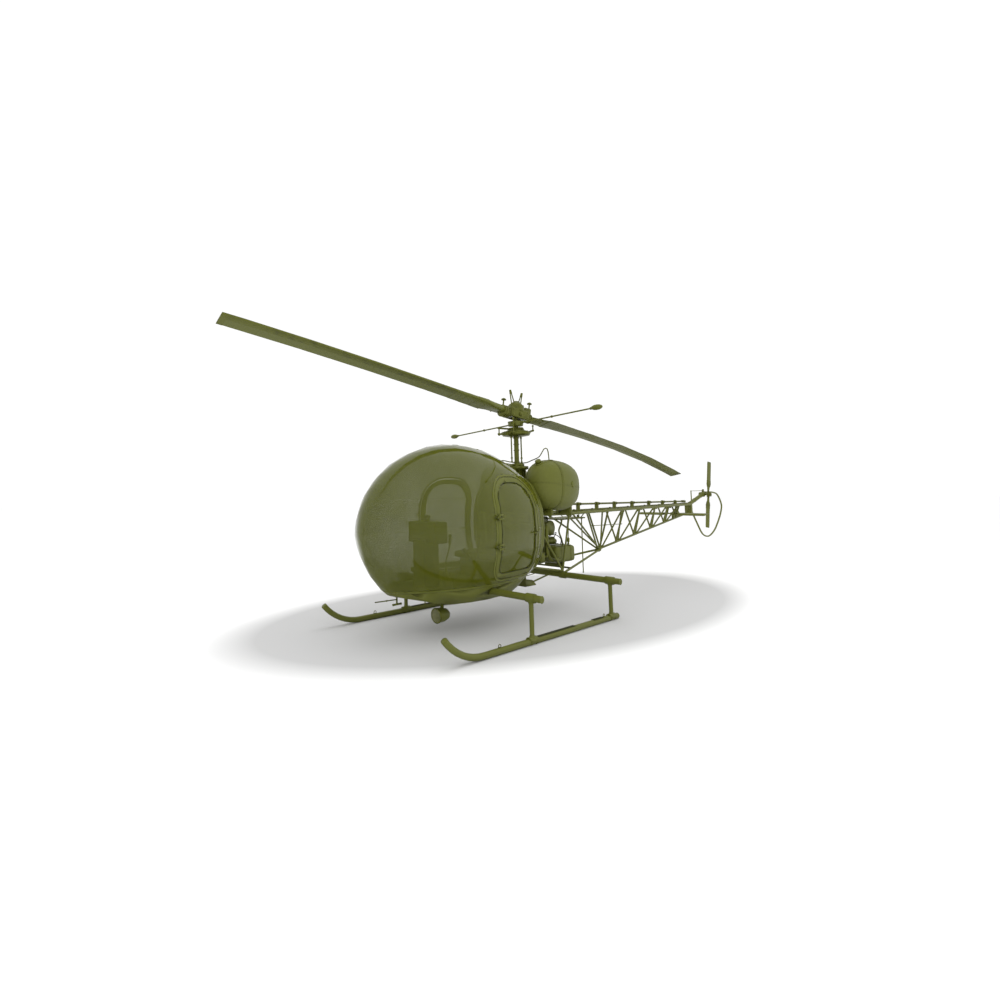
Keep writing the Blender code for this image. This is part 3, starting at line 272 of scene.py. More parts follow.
PAINT = surface("olive_paint_field", "olive_paint", FIELD_PAINT, bump=0.04)
DARK_PAINT = surface("olive_paint_dark", "olive_dark", FIELD_PAINT, bump=0.15, Paint=(0.086, 0.094, 0.013, 1),
                     Faded=(0.104, 0.111, 0.02, 1), Dust_Amount=0.2, Gloss=0.55)
METAL = surface("olive_metal_worked", "olive_metal", WORKED_METAL, metallic=0.55, bump=0.15)
FASTENER = surface("olive_fastener", "olive_metal", WORKED_METAL, metallic=0.4, bump=0.08,
                   Metal=(0.12, 0.128, 0.024, 1), Oil_Amount=0.25, Gloss=0.38)
RUBBER = surface("olive_rubber", "olive_dark", FIELD_PAINT, bump=0.3, Paint=(0.03, 0.033, 0.012, 1),
                 Faded=(0.05, 0.052, 0.024, 1), Dust_Amount=0.5, Gloss=0.75)
CANVAS = surface("olive_canvas_weave", "olive_canvas", CANVAS_WEAVE, bump=0.5, depth=0.0008)
# Lighter thread colours on the belts and piping: painted light for the dim cabin
WEBBING = surface("olive_webbing", "olive_canvas", CANVAS_WEAVE, bump=0.5, depth=0.0006,
                  Thread=(0.34, 0.34, 0.15, 1), Worn=(0.42, 0.42, 0.22, 1), Threads=1300.0)
MARKING = surface("dial_mark", "olive_dark", FIELD_PAINT, bump=0.02, Paint=(0.88, 0.88, 0.72, 1),
                  Faded=(0.8, 0.8, 0.62, 1), Dust_Amount=0.05, Gloss=0.5)


def clear_surface(name, tint, haze, cover, edge_cover):
    """Tinted glazing: thin to look through square on, denser and glossier at a glancing angle."""
    material = surface(name, "olive_acrylic", HAZED_CLEAR, coat=0.25, Tint=tint, Haze=haze)
    tree = material.node_tree
    shader = tree.nodes["Principled BSDF"].inputs
    placed = [one for one in tree.nodes if one.type == "GROUP"][0]
    glancing = node(tree, "ShaderNodeLayerWeight", Blend=0.35).outputs["Facing"]
    dense = ramp(tree, glancing, 0.0, 1.0, cover, edge_cover)
    feed(tree, shader["Alpha"], plus(tree, dense, placed.outputs["Cover"]))
    feed(tree, shader["Coat Roughness"], 0.03)
    return material


ACRYLIC = clear_surface("olive_acrylic_clear", (0.092, 0.102, 0.006, 1), (0.11, 0.12, 0.012, 1), 0.45, 0.95)
LENS = clear_surface("olive_lens", (0.2, 0.21, 0.08, 1), (0.3, 0.3, 0.14, 1), 0.22, 0.9)


# Modelling steps

WELD = 0.00001


def only(piece):
    """Leaves edit mode and makes the piece, if there is one, the only one selected."""
    if bpy.context.mode != "OBJECT":
        bpy.ops.object.mode_set(mode="OBJECT")
    bpy.ops.object.select_all(action="DESELECT")
    if piece:
        piece.select_set(True)
        bpy.context.view_layer.objects.active = piece


def settled():
    """Leaves edit mode and puts the new object's place into its mesh."""
    if bpy.context.mode != "OBJECT":
        bpy.ops.object.mode_set(mode="OBJECT")
    bpy.ops.object.transform_apply(location=True, rotation=True, scale=True)
    return bpy.context.object


def editing(piece):
    """Enters edit mode with all of the piece selected."""
    only(piece)
    bpy.ops.object.mode_set(mode="EDIT")
    bpy.ops.mesh.select_all(action="SELECT")


def linked(name, mesh):
    piece = bpy.data.objects.new(name, mesh)
    bpy.context.scene.collection.objects.link(piece)
    return piece


def shaped(piece, kind, **settings):
    """Adds a modifier and makes its result the mesh."""
    only(piece)
    step = piece.modifiers.new("step", kind)
    for label, value in settings.items():
        setattr(step, label, value)
    bpy.ops.object.modifier_apply(modifier=step.name)
    return piece


def block(low, high, bevel=0.002, segments=2):
    """A box with its edges rounded."""
    only(None)
    low, high = Vector(low), Vector(high)
    bpy.ops.mesh.primitive_cube_add(size=1.0, location=(low + high) / 2, scale=high - low)
    editing(settled())
    bpy.ops.mesh.bevel(offset=bevel, segments=segments, affect="EDGES")
    return settled()


def turned(rows, sides=24):
    """A round solid standing on the origin, extruded and scaled row by row from (radius, height)."""
    only(None)
    radius, height = rows[0]
    bpy.ops.mesh.primitive_circle_add(vertices=sides, radius=radius, fill_type="NGON",
                                      location=(0, 0, height))
    editing(settled())
    for (near, low), (far, high) in zip(rows, rows[1:]):
        bpy.ops.mesh.extrude_region_move(TRANSFORM_OT_translate={"value": (0, 0, high - low)})
        bpy.ops.transform.resize(value=(far / near, far / near, 1), center_override=(0, 0, high))
    bpy.ops.mesh.select_all(action="SELECT")
    bpy.ops.mesh.normals_make_consistent(inside=False)
    return settled()


def curve_through(points, steps=5):
    """Points on a smooth curve through the given ones."""
    points = [Vector(point) for point in points]
    ends = [points[0] * 2 - points[1]] + points + [points[-1] * 2 - points[-2]]
    path = []
    for a, b, c, d in zip(ends, ends[1:], ends[2:], ends[3:]):
        for step in range(steps):
            t = step / steps
            path.append(0.5 * (2 * b + (c - a) * t + (2 * a - 5 * b + 4 * c - d) * t * t
                               + (3 * b - a - 3 * c + d) * t ** 3))
    return path + [points[-1]]


def tube(points, radius, detail=2, steps=0, closed=False):
    """A round line through points, as a capped mesh; steps rounds it between them."""
    points = curve_through(points, steps) if steps else [Vector(point) for point in points]
    only(None)
    bpy.ops.curve.primitive_nurbs_path_add(location=(0, 0, 0))
    curve = bpy.context.object.data
    curve.splines.clear()
    spline = curve.splines.new("POLY")
    spline.points.add(len(points) - 1)
    for spot, point in zip(spline.points, points):
        spot.co = (*point, 1.0)
    spline.use_cyclic_u = closed
    curve.dimensions = "3D"
    curve.twist_mode = "MINIMUM"
    curve.bevel_depth = radius
    curve.bevel_resolution = detail
    curve.use_fill_caps = not closed
    bpy.ops.object.convert(target="MESH")
    return bpy.context.object


def line(spots, radius, detail=2, steps=0, closed=False):
    """A tube through spots given from the mast axis."""
    return tube([at(*spot) for spot in spots], radius, detail, steps, closed)


def facing(point, normal, turn=0.0):
    """The place of something that stands on a surface."""
    return (Matrix.Translation(point) @ Vector(normal).to_track_quat("Z", "Y").to_matrix().to_4x4()
            @ Matrix.Rotation(turn, 4, "Z"))


def on(x, y, z, normal=(0, 0, 1), turn=0.0):
    """The same for a point given from the mast axis."""
    return facing(at(x, y, z), normal, turn)


def centred(x, y, z):
    """The upright place of something on a point given from the mast axis."""
    return Matrix.Translation(at(x, y, z))


def around(count, radius, first=0.0):
    """Points spread evenly on a circle, as pairs."""
    turns = [first + 2 * math.pi * i / count for i in range(count)]
    return [(radius * math.cos(turn), radius * math.sin(turn)) for turn in turns]


def moved(piece, place):
    piece.data.transform(place)
    return piece


def round_at(place, sides, *rows):
    return moved(turned(rows, sides), place)


def disc(radius, low, high, sides, place=Matrix()):
    return round_at(place, sides, (radius, low), (radius, high))


def collar(inner, outer, length, sides, place, slope=0.003, low=0.0):
    """A ring with sloping ends."""
    high = low + length
    return round_at(place, sides, (inner, low), (outer, low + slope), (outer, high - slope), (inner, high))


def scattered(piece, places):
    """One mesh with a copy of the piece at each place."""
    bm = bmesh.new()
    for place in places:
        first = len(bm.verts)
        bm.from_mesh(piece.data)
        bm.verts.ensure_lookup_table()
        bmesh.ops.transform(bm, matrix=place, verts=bm.verts[first:])
    bm.to_mesh(piece.data)
    bm.free()
    return piece


def joined(parts):
    only(None)
    for part in parts:
        part.select_set(True)
    bpy.context.view_layer.objects.active = parts[0]
    if len(parts) > 1:
        bpy.ops.object.join()
    return bpy.context.object


def fitted(name, parts, material, body="airframe", smooth=35.0):
    """Joins the parts into one named piece, shades and paints it, and lets it ride on a body."""
    piece = joined(parts)
    piece.name = piece.data.name = name
    bpy.ops.object.shade_smooth_by_angle(angle=math.radians(smooth))
    piece.data.materials.clear()
    piece.data.materials.append(material)
    for face in piece.data.polygons:
        face.material_index = 0
    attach(piece, body)
    return piece


SKINS = {}
COPIES = {}


def met(name, start, direction):
    """Where a line first meets a solid and the way the surface faces there, or None where it misses."""
    if name not in SKINS:
        solid = COPIES.get(name) or frame["nodes"][name]
        SKINS[name] = BVHTree.FromPolygons([solid.matrix_world @ vert.co for vert in solid.data.vertices],
                                           [face.vertices for face in solid.data.polygons])
    direction = Vector(direction)
    spot, normal, _, _ = SKINS[name].ray_cast(Vector(start), direction)
    if spot is None:
        return None
    return spot, normal if normal.dot(direction) < 0 else -normal


def onto(name, start, direction):
    found = met(name, start, direction)
    if found is None:
        raise ValueError(f"nothing of {name} lies along {tuple(direction)} from {tuple(start)}")
    return found


def rests(name, start, direction, lift=0.0):
    """A list of the place of something where the line meets the solid, or an empty one where it misses."""
    found = met(name, start, direction)
    return [facing(found[0] + found[1] * lift, found[1])] if found else []


def band(name, planes, thick):
    """A close-fitting band: a solid's surface behind each plane (point, normal), given thickness outwards."""
    piece = linked("band", COPIES[name].data.copy())
    editing(piece)
    bpy.ops.mesh.remove_doubles(threshold=WELD)
    for point, normal in planes:
        bpy.ops.mesh.select_all(action="SELECT")
        bpy.ops.mesh.bisect(plane_co=point, plane_no=normal, clear_outer=True)
    settled()
    return shaped(piece, "SOLIDIFY", thickness=thick, offset=1.0, use_even_offset=True)


def ribbon(points, normals, width, thick, closed=False):
    """A flat strip along points on a surface."""
    verts, faces = [], []
    count = len(points)
    for i, (point, normal) in enumerate(zip(points, normals)):
        after = points[(i + 1) % count] if closed or i + 1 < count else point
        before = points[i - 1] if closed or i else point
        side = (after - before).cross(normal).normalized() * width / 2
        verts += [point + side + normal * 0.0002, point - side + normal * 0.0002]
    for i in range(count if closed else count - 1):
        j = (i + 1) % count
        faces.append((2 * i, 2 * j, 2 * j + 1, 2 * i + 1))
    mesh = bpy.data.meshes.new("ribbon")
    mesh.from_pydata(verts, [], faces)
    if mesh.polygons[0].normal.dot(normals[0]) < 0:
        mesh.flip_normals()
    return shaped(linked("ribbon", mesh), "SOLIDIFY", thickness=thick, offset=1.0)


def rivets(places, radius):
    rivet = turned([(radius, -0.0004), (radius * 0.94, radius * 0.25), (radius * 0.45, radius * 0.55)], 8)
    return scattered(rivet, places)


def bolt(radius):
    """A hexagon head on its washer."""
    head = turned([(radius, radius * 0.25), (radius, radius * 0.85), (radius * 0.82, radius)], 6)
    return joined([head, turned([(radius * 1.35, -0.0005), (radius * 1.35, radius * 0.2),
                                 (radius * 1.25, radius * 0.26)], 14)])


def bolts(places, radius):
    return scattered(bolt(radius), places)


def spaced(path, step, offset=0.0):
    """Points every step along a line of (point, normal) pairs."""
    spots, travelled, due = [], 0.0, offset
    for (a, na), (b, nb) in zip(path, path[1:]):
        length = (b - a).length
        while length and due <= travelled + length:
            share = (due - travelled) / length
            spots.append((a.lerp(b, share), na.lerp(nb, share).normalized()))
            due += step
        travelled += length
    return spots


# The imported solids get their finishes

NODE_FINISH = {
    "olive_paint": PAINT, "olive_dark": DARK_PAINT, "olive_metal": METAL, "olive_acrylic": ACRYLIC,
    "olive_canvas": CANVAS,
}
for part in frame["record"]["subparts"]:
    solid = frame["nodes"][part["node"]]
    solid.data.materials.clear()
    solid.data.materials.append(NODE_FINISH[part["material_slot"]])


# Camera, floor and light

PHOTO_WIDTH = 1000.0
PHOTO_HEIGHT = 1005.0
FOCAL_PIXELS = 545.9
CENTRE_PIXEL = (399.5, 446.0)
CAMERA_PLACE = (MAST_X + 6.6148, 5.2532, 1.84)
CAMERA_YAW = math.radians(-129.43)
CAMERA_PITCH = math.radians(4.51)
CAMERA_ROLL = math.radians(-0.9)
# The painted shadow, a soft grey oval on the floor: its middle, half lengths and turn
SHADOW_PLACE = (MAST_X - 0.364, -0.311, 0.0)
SHADOW_SIZE = (4.511, 2.41, 1.0)
SHADOW_TURN = (0, 0, math.radians(172.54))
# Name, place, width and power of each soft light
LIGHTS = (("overhead", (1, 1, 11), 10, 300), ("key", (8, 9, 7), 7, 220))


def set_camera():
    """The photo's own viewpoint, with its shifted middle."""
    level = math.cos(CAMERA_PITCH)
    ahead = Vector((level * math.cos(CAMERA_YAW), level * math.sin(CAMERA_YAW), math.sin(CAMERA_PITCH)))
    across = ahead.cross(Vector((0, 0, 1))).normalized()
    over = across.cross(ahead)
    right = across * math.cos(CAMERA_ROLL) + over * math.sin(CAMERA_ROLL)
    up = over * math.cos(CAMERA_ROLL) - across * math.sin(CAMERA_ROLL)
    lens = bpy.data.cameras.new("view")
    camera = linked("view", lens)
    camera.matrix_world = Matrix.Translation(CAMERA_PLACE) @ Matrix((right, up, -ahead)).transposed().to_4x4()
    lens.sensor_width = 36.0
    lens.lens = FOCAL_PIXELS * lens.sensor_width / PHOTO_HEIGHT
    lens.shift_x = (PHOTO_WIDTH / 2 - CENTRE_PIXEL[0]) / PHOTO_HEIGHT
    lens.shift_y = (CENTRE_PIXEL[1] - PHOTO_HEIGHT / 2) / PHOTO_HEIGHT
    lens.clip_end = 300.0
    bpy.context.scene.camera = camera


def set_stage():
    """A pale floor with a painted shadow, a soft grey oval, under the machine, and an even, soft light."""
    only(None)
    bpy.ops.mesh.primitive_circle_add(vertices=96, radius=90.0, fill_type="NGON", location=(0, 0, -0.0005))
    floor = settled()
    floor.name = floor.data.name = "floor"
    pale = bpy.data.materials.new("pale_floor_painted_shadow")
    pale.use_nodes = True
    tree = pale.node_tree
    where = node(tree, "ShaderNodeTexCoord").outputs["Object"]
    shadow_oval_space = node(tree, "ShaderNodeMapping", vector_type="TEXTURE", Vector=where, Location=SHADOW_PLACE,
                 Rotation=SHADOW_TURN, Scale=SHADOW_SIZE)
    reach = node(tree, "ShaderNodeVectorMath", operation="LENGTH", Vector=shadow_oval_space.outputs["Vector"])
    # Painted shadow: the floor is grey inside the oval and fades to pale across its rim
    clear = ramp(tree, reach.outputs["Value"], 0.92, 1.1)
    shader = tree.nodes["Principled BSDF"].inputs
    feed(tree, shader["Base Color"], mixed(tree, clear, (0.56, 0.56, 0.56, 1), (0.97, 0.97, 0.97, 1)))
    feed(tree, shader["Roughness"], 0.95)
    feed(tree, shader["Specular IOR Level"], 0.1)
    floor.data.materials.append(pale)

    world = bpy.data.worlds.new("studio")
    bpy.context.scene.world = world
    world.use_nodes = True
    sky = world.node_tree.nodes["Background"].inputs
    sky["Color"].default_value = (1, 1, 1, 1)
    sky["Strength"].default_value = 1.04
    for name, place, size, power in LIGHTS:
        light = bpy.data.lights.new(name, "AREA")
        light.size = size
        light.energy = power
        lamp = linked(name, light)
        lamp.matrix_world = facing(place, Vector(place) - Vector((0.6, 0, 1.2)))
        lamp.visible_glossy = False
    bpy.context.scene.view_settings.view_transform = "Standard"


set_camera()
set_stage()


# Smoothly shaded copies of the solids

FINE_NODES = ("fuel_tank_left", "fuel_tank_right")
CUSHION_NODES = ("seat_cushion", "seat_back")
EDGE_ANGLE = 62.0
BUBBLE_EDGE_ANGLE = 30.0
# The x and z along the guard's loop, from the gearbox's stub round to the boom's end plate
GUARD_PATH = (
    (-6.7, 1.646), (-6.73, 1.654), (-6.76, 1.661), (-6.9, 1.658), (-7.13, 1.652), (-7.4, 1.59), (-7.6, 1.37),
    (-7.56, 1.2), (-7.4, 1.01), (-7.15, 0.8), (-6.87, 0.68), (-6.64, 0.672), (-6.42, 0.76), (-6.2, 0.99),
    (-6.01, 1.205), (-5.94, 1.285), (-5.9, 1.31), (-5.88, 1.31), (-5.861, 1.31),
)
GUARD_R = 0.0175


def corners(piece):
    spots = [vert.co for vert in piece.data.vertices]
    return [Vector([pick(spot[i] for spot in spots) for i in range(3)]) for pick in (min, max)]


def finer(piece):
    """Rounds the mesh and stretches it back to its own size."""
    low, high = corners(piece)
    shaped(piece, "SUBSURF", levels=2, render_levels=2)
    now_low, now_high = corners(piece)
    middle = (low + high) / 2
    growth = [(b - a) / (d - c) for a, b, c, d in zip(low, high, now_low, now_high)]
    moved(piece, Matrix.Translation(middle) @ Matrix.Diagonal((*growth, 1)) @ Matrix.Translation(-middle))


def smooth_copy(solid, slot):
    """The solid's own form, shaded as rounded skins between its real edges."""
    source = frame["nodes"][solid]
    if solid == "tail_guard":
        piece = line([(x, 0, z) for x, z in GUARD_PATH], GUARD_R, detail=3, steps=7)
    else:
        piece = linked("copy", source.data.copy())
        piece.data.transform(source.matrix_world)
        editing(piece)
        bpy.ops.mesh.remove_doubles(threshold=WELD)
        settled()
    if solid in FINE_NODES:
        finer(piece)
    angle = BUBBLE_EDGE_ANGLE if solid == "bubble" else EDGE_ANGLE
    fitted(f"{solid}_skin", [piece], NODE_FINISH[slot], source["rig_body"], angle)
    shaped(piece, "WEIGHTED_NORMAL", keep_sharp=True, weight=50)
    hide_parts(solid)
    COPIES[solid] = piece


for part in frame["record"]["subparts"]:
    if part["node"] not in CUSHION_NODES:
        smooth_copy(part["node"], part["material_slot"])


# Cabin glazing, doors and trim

OUTSIDE_Y = 1.3


def door_outline(inset, steps=6):
    """Side outline of the door opening, as (x, z), from its front low corner round."""
    low_x, high_x = DOOR_REAR_X + inset, DOOR_FRONT_X - inset
    low_z, high_z = DOOR_LOW_Z + inset, DOOR_HIGH_Z - inset
    radii = [DOOR_CORNER * share - inset for share in (0.75, 1.5, 1.9, 0.75)]
    spots = ((high_x, low_z, -90, -1, 1), (high_x, high_z, 0, -1, -1), (low_x, high_z, 90, 1, -1),
             (low_x, low_z, 180, 1, 1))
    outline = []
    for (x, z, first, right, up), radius in zip(spots, radii):
        for step in range(steps + 1):
            turn = math.radians(first + 90 * step / steps)
            outline.append((x + (right + math.cos(turn)) * radius, z + (up + math.sin(turn)) * radius))
    return outline


def even_loop(outline, gap=0.03):
    """The outline with its long sides divided."""
    spots = []
    for (x, z), (next_x, next_z) in zip(outline, outline[1:] + outline[:1]):
        count = max(1, round(math.hypot(next_x - x, next_z - z) / gap))
        spots += [(x + (next_x - x) * i / count, z + (next_z - z) * i / count) for i in range(count)]
    return spots


def side_loop(name, inset, side):
    """The door's outline laid on a solid's outer face on one side, as (point, normal) pairs."""
    return [onto(name, (x, side * OUTSIDE_Y, z), (0, -side, 0)) for x, z in even_loop(door_outline(inset))]


def riveted_strip(name, path, width, thick, gap, size, offset=0.02, shifts=(0.0,), loop=False):
    """A painted strip along (point, normal) pairs with its rivets."""
    spots, normals = zip(*path)
    strip = ribbon(spots, normals, width, thick, closed=loop)
    row = spaced(path + path[:1] if loop else path, gap, offset)
    heads = [facing(spot + normal * thick + Vector((shift, 0, 0)), normal)
             for shift in shifts for spot, normal in row]
    fitted(name, [strip, rivets(heads, size)], PAINT)


HINGE_Z = (1.1, 1.47)
HINGE_Y = 0.768


def door_fittings(side_name, side):
    """Seal around the window, its screws, the outer handle, the inner pull and the hinges' screws."""
    body, door = f"door_{side_name}", f"door_{side_name}_frame"
    seal = []
    for x, z in even_loop(door_outline(0.0755)):
        ray = (x, side * OUTSIDE_Y, z), (0, -side, 0)
        seal.append(met(f"door_{side_name}_window", *ray) or onto(door, *ray))
    bead = tube([spot + normal * 0.001 for spot, normal in seal], 0.0045, closed=True)
    fitted(f"door_window_seal_{side_name}", [bead], RUBBER, body)
    heads = []
    for inset, gap, offset in ((0.052, 0.085, 0.02), (0.02, 0.11, 0.05)):
        path = side_loop(door, inset, side)
        heads += [facing(*spot) for spot in spaced(path + path[:1], gap, offset)]
    fitted(f"door_screws_{side_name}", [rivets(heads, 0.0042)], FASTENER, body)

    spot, normal = onto(door, (DOOR_REAR_X + 0.04, side * OUTSIDE_Y, 1.23), (0, -side, 0))
    plate = moved(turned([(0.026, 0), (0.026, 0.003), (0.023, 0.005)], 20), Matrix.Diagonal((0.8, 1.5, 1, 1)))
    boss = turned([(0.013, 0.002), (0.013, 0.012), (0.01, 0.02), (0.011, 0.026), (0.006, 0.029)], 16)
    lever = tube([(0, 0, 0.021), (0.03, 0, 0.025), (0.085, 0, 0.024), (0.112, 0, 0.019)], 0.0065, steps=4)
    handle = joined([plate, boss, moved(lever, Matrix.Diagonal((1, 1.5, 1, 1)))])
    outwards = facing(spot, normal)
    ahead = outwards.to_3x3().inverted() @ Vector((1, 0, 0))
    moved(handle, outwards @ Matrix.Rotation(math.atan2(ahead.y, ahead.x), 4, "Z"))
    fitted(f"door_handle_{side_name}", [handle], METAL, body)

    pull = [(DOOR_REAR_X + 0.034, side * (abs(spot.y) - reach), z) for reach, z in (
        (0.022, 1.08), (0.06, 1.09), (0.066, 1.12), (0.064, 1.2), (0.056, 1.23), (0.022, 1.24))]
    fitted(f"door_pull_{side_name}", [tube(pull, 0.006, steps=4)], METAL, body)
    places = [facing((x, side * HINGE_Y, z), (0, side, 0))
              for z in HINGE_Z for x in (DOOR_FRONT_X + 0.014, DOOR_FRONT_X + 0.034)]
    fitted(f"hinge_screws_{side_name}", [bolts(places, 0.0045)], FASTENER)


def girth(name, centre, ways):
    """Where rays towards a centre first meet a solid, one for each way out."""
    return [onto(name, centre + way * 3, -way) for way in ways]


def level_ways(first, last, step):
    """Level directions over an angle in degrees, drawn in to the cabin's narrower width."""
    turns = (math.radians(turn) for turn in range(first, last, step))
    return [Vector((math.cos(turn), 0.62 * math.sin(turn), 0)).normalized() for turn in turns]


for side_name, side in SIDES:
    loop = side_loop("bubble", -0.017, side)
    riveted_strip(f"door_surround_{side_name}", loop, 0.026, 0.0022, 0.075, 0.004, 0.0, loop=True)
    door_fittings(side_name, side)

arch_turns = [math.radians(turn) for turn in range(-34, 216, 4)]
arch_ways = [Vector((0, math.cos(turn), math.sin(turn))) for turn in arch_turns]
arch = girth("bubble", Vector((BULKHEAD_X + 0.022, 0, CABIN_Z)), arch_ways)
riveted_strip("bubble_rear_band", arch, 0.04, 0.0025, 0.055, 0.0036, shifts=(-0.012, 0.012))
foot = girth("bubble", Vector((PAN_X, 0, FLOOR_Z + 0.018)), level_ways(-121, 122, 4))
riveted_strip("bubble_foot_strip", foot, 0.03, 0.0025, 0.06, 0.0036)


def floor_pan_rivets():
    """Rivet rows on the belly: along its rim and across it, with two access covers."""
    heads, covers = [], []
    for height in (FLOOR_Z - 0.02, 0.5):
        path = girth("cabin_floor", Vector((PAN_X, 0, height)), level_ways(-118, 119, 3))
        heads += [facing(*spot) for spot in spaced(path, 0.05)]
    for x in (0.32, 0.7, 1.16, 1.38, 1.78):
        for i in range(-12, 13):
            found = met("cabin_floor", at(x, i * 0.032, -0.2), (0, 0, 1))
            if found and found[1].z < -0.98:
                heads.append(facing(*found))
    for x in (0.95, 1.6):
        covers.append(block(at(x - 0.09, -0.28, BELLY_Z - 0.0025), at(x + 0.09, -0.06, BELLY_Z + 0.0005),
                            0.0012))
        heads += [on(x + i * 0.075, y, BELLY_Z - 0.0025, (0, 0, -1)) for i in (-1, 0, 1)
                  for y in (-0.268, -0.072)]
    fitted("belly_rivets", [rivets(heads, 0.0038)] + covers, PAINT)


floor_pan_rivets()


def bulkhead_dressing():
    """Stiffeners and rivets on the back of the cabin's rear wall."""
    parts, heads = [], []
    back, front = 0.211, 0.225
    for y in (-0.22, 0.0, 0.22):
        parts.append(block(at(back, y - 0.016, 0.66), at(front + 0.0003, y + 0.016, 1.36), 0.003))
        heads += [on(back, y, 0.7 + 0.05 * i, (-1, 0, 0)) for i in range(13)]
    for z in (0.78, 1.1, 1.37):
        heads += [on(front, y * 0.05, z, (-1, 0, 0)) for y in range(-10, 11) if abs(y * 0.05) % 0.22 > 0.03]
    fitted("bulkhead_stiffeners", parts + [rivets(heads, 0.0036)], PAINT)


bulkhead_dressing()


# Seats, belts and controls

SEAT_CHANNELS = (-0.24, 0.0, 0.24)
SEAT_MARGIN = Vector((0.006, 0.01, 0.006))
SWELL_FRAMES = 20
SWELL_LIMIT = 0.016
SEAT_VOXEL = 0.0105
CLOTH_SETTINGS = {
    "quality": 4, "mass": 0.3, "tension_stiffness": 12.0, "compression_stiffness": 12.0,
    "bending_stiffness": 0.3, "use_pressure": True, "uniform_pressure_force": 4.0,
    "vertex_group_mass": "sewn",
}


def swell(piece, start):
    """Blows the piece up with cloth and holds it near its first form."""
    cloth = piece.modifiers.new("swell", "CLOTH")
    for label, value in CLOTH_SETTINGS.items():
        setattr(cloth.settings, label, value)
    cloth.settings.effector_weights.gravity = 0.0
    cloth.collision_settings.use_collision = False
    cloth.point_cache.frame_start = 1
    cloth.point_cache.frame_end = SWELL_FRAMES
    for number in range(1, SWELL_FRAMES + 1):
        bpy.context.scene.frame_set(number)
    only(piece)
    bpy.ops.object.modifier_apply(modifier=cloth.name)
    bpy.context.scene.frame_set(1)
    for vert, was in zip(piece.data.vertices, start):
        shift = vert.co - was
        if shift.length > SWELL_LIMIT:
            vert.co = was + shift.normalized() * SWELL_LIMIT


def stuffed(name, low, high, flat_side, channel_axis, replaced):
    """A padded seat part: a closed form blown up between its sewn channels, flat where it rests."""
    piece = block(low + SEAT_MARGIN, high - SEAT_MARGIN, 0.028, 4)
    shaped(piece, "REMESH", mode="VOXEL", voxel_size=SEAT_VOXEL)
    start = [vert.co.copy() for vert in piece.data.vertices]
    axis, level = flat_side
    middle = (low + high) / 2

    def held(point):
        return (abs(point[axis] - level) < 0.012
                or min(abs(point.y - seam) for seam in SEAT_CHANNELS) < 0.0065
                or abs(point[channel_axis] - middle[channel_axis]) < 0.006)

    pins = [i for i, point in enumerate(start) if held(point)]
    piece.vertex_groups.new(name="sewn").add(pins, 1.0, "REPLACE")
    swell(piece, start)
    shaped(piece, "SUBSURF", levels=1, render_levels=1)
    fitted(name, [piece], CANVAS, smooth=80)
    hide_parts(replaced)
    COPIES[name] = piece


stuffed("bench_cushion", at(0.41, -0.48, 0.8403), at(0.93, 0.48, 0.94), (2, 0.8463), 0, "seat_cushion")
stuffed("bench_back", at(0.27, -0.48, 0.95), at(0.395, 0.48, 1.48), (0, BULKHEAD_X + 0.006), 2, "seat_back")


def on_seat(x, y):
    return onto("bench_cushion", at(x, y, 2.0), (0, 0, -1))[0]


def on_back(y, z):
    return onto("bench_back", at(1.0, y, z), (-1, 0, 0))[0]


def welt_loop(spots, lay):
    """A closed line through the spots, laid on a cushion."""
    spots = [Vector(spot) for spot in spots]
    return [lay(*a.lerp(b, i / 24)) for a, b in zip(spots, spots[1:] + spots[:1]) for i in range(24)]


def seat_piping():
    """Welt sewn around the seat's and the back's edges and along their channels."""
    lines = []
    for y in SEAT_CHANNELS:
        lines.append([on_seat(0.43 + 0.02 * i, y) for i in range(25)])
        lines.append([on_back(y, 0.975 + 0.02 * i) for i in range(25)])
    lines.append(welt_loop(((0.44, -0.455), (0.9, -0.455), (0.9, 0.455), (0.44, 0.455)), on_seat))
    lines.append(welt_loop(((-0.455, 0.98), (0.455, 0.98), (0.455, 1.45), (-0.455, 1.45)), on_back))
    fitted("seat_piping", [tube(spots, 0.0032, 1) for spots in lines], WEBBING)


seat_piping()


def strap(spots, up, width):
    return ribbon([spot + up * 0.0015 for spot in spots], [up] * len(spots), width, 0.0022)


def belts():
    """Lap belts and shoulder straps with their buckles, lying on the seats."""
    straps, buckles = [], []
    for centre in (-0.24, 0.24):
        for way in (1, -1):
            shares = [i / 14 for i in range(15)]
            spots = [on_seat(0.432 + 0.23 * share, centre + way * (0.175 - 0.145 * share ** 0.8))
                     for share in shares]
            straps.append(strap(spots, Vector((0, 0, 1)), 0.044))
            shares = [i / 21 for i in range(22)]
            spots = [on_back(centre + way * (0.09 - 0.045 * share), 1.455 - 0.47 * share) for share in shares]
            straps.append(strap(spots, Vector((1, 0, 0)), 0.04))
        parts = [block((-0.024, -0.032, 0.0), (0.024, 0.032, 0.012), 0.004),
                 block((-0.018, -0.022, 0.011), (0.018, 0.024, 0.016), 0.003)]
        parts += [tube([(-0.022, y, 0.006), (0.022, y, 0.006)], 0.0035) for y in (0.036, -0.036)]
        place = Matrix.Translation(on_seat(0.675, centre) + Vector((0, 0, 0.003)))
        buckles.append(moved(joined(parts), place))
    fitted("seat_belts", straps, WEBBING)
    fitted("belt_buckles", buckles, METAL)


belts()

PANEL_X = 1.74
RADIO_X = 1.76
# Height, radius, places across and marks of each row of instruments
DIAL_ROWS = (
    (1.335, 0.037, (-0.18, -0.09, 0.0, 0.09, 0.18), 13),
    (1.238, 0.028, (-0.195, -0.117, -0.039, 0.039, 0.117, 0.195), 9),
)


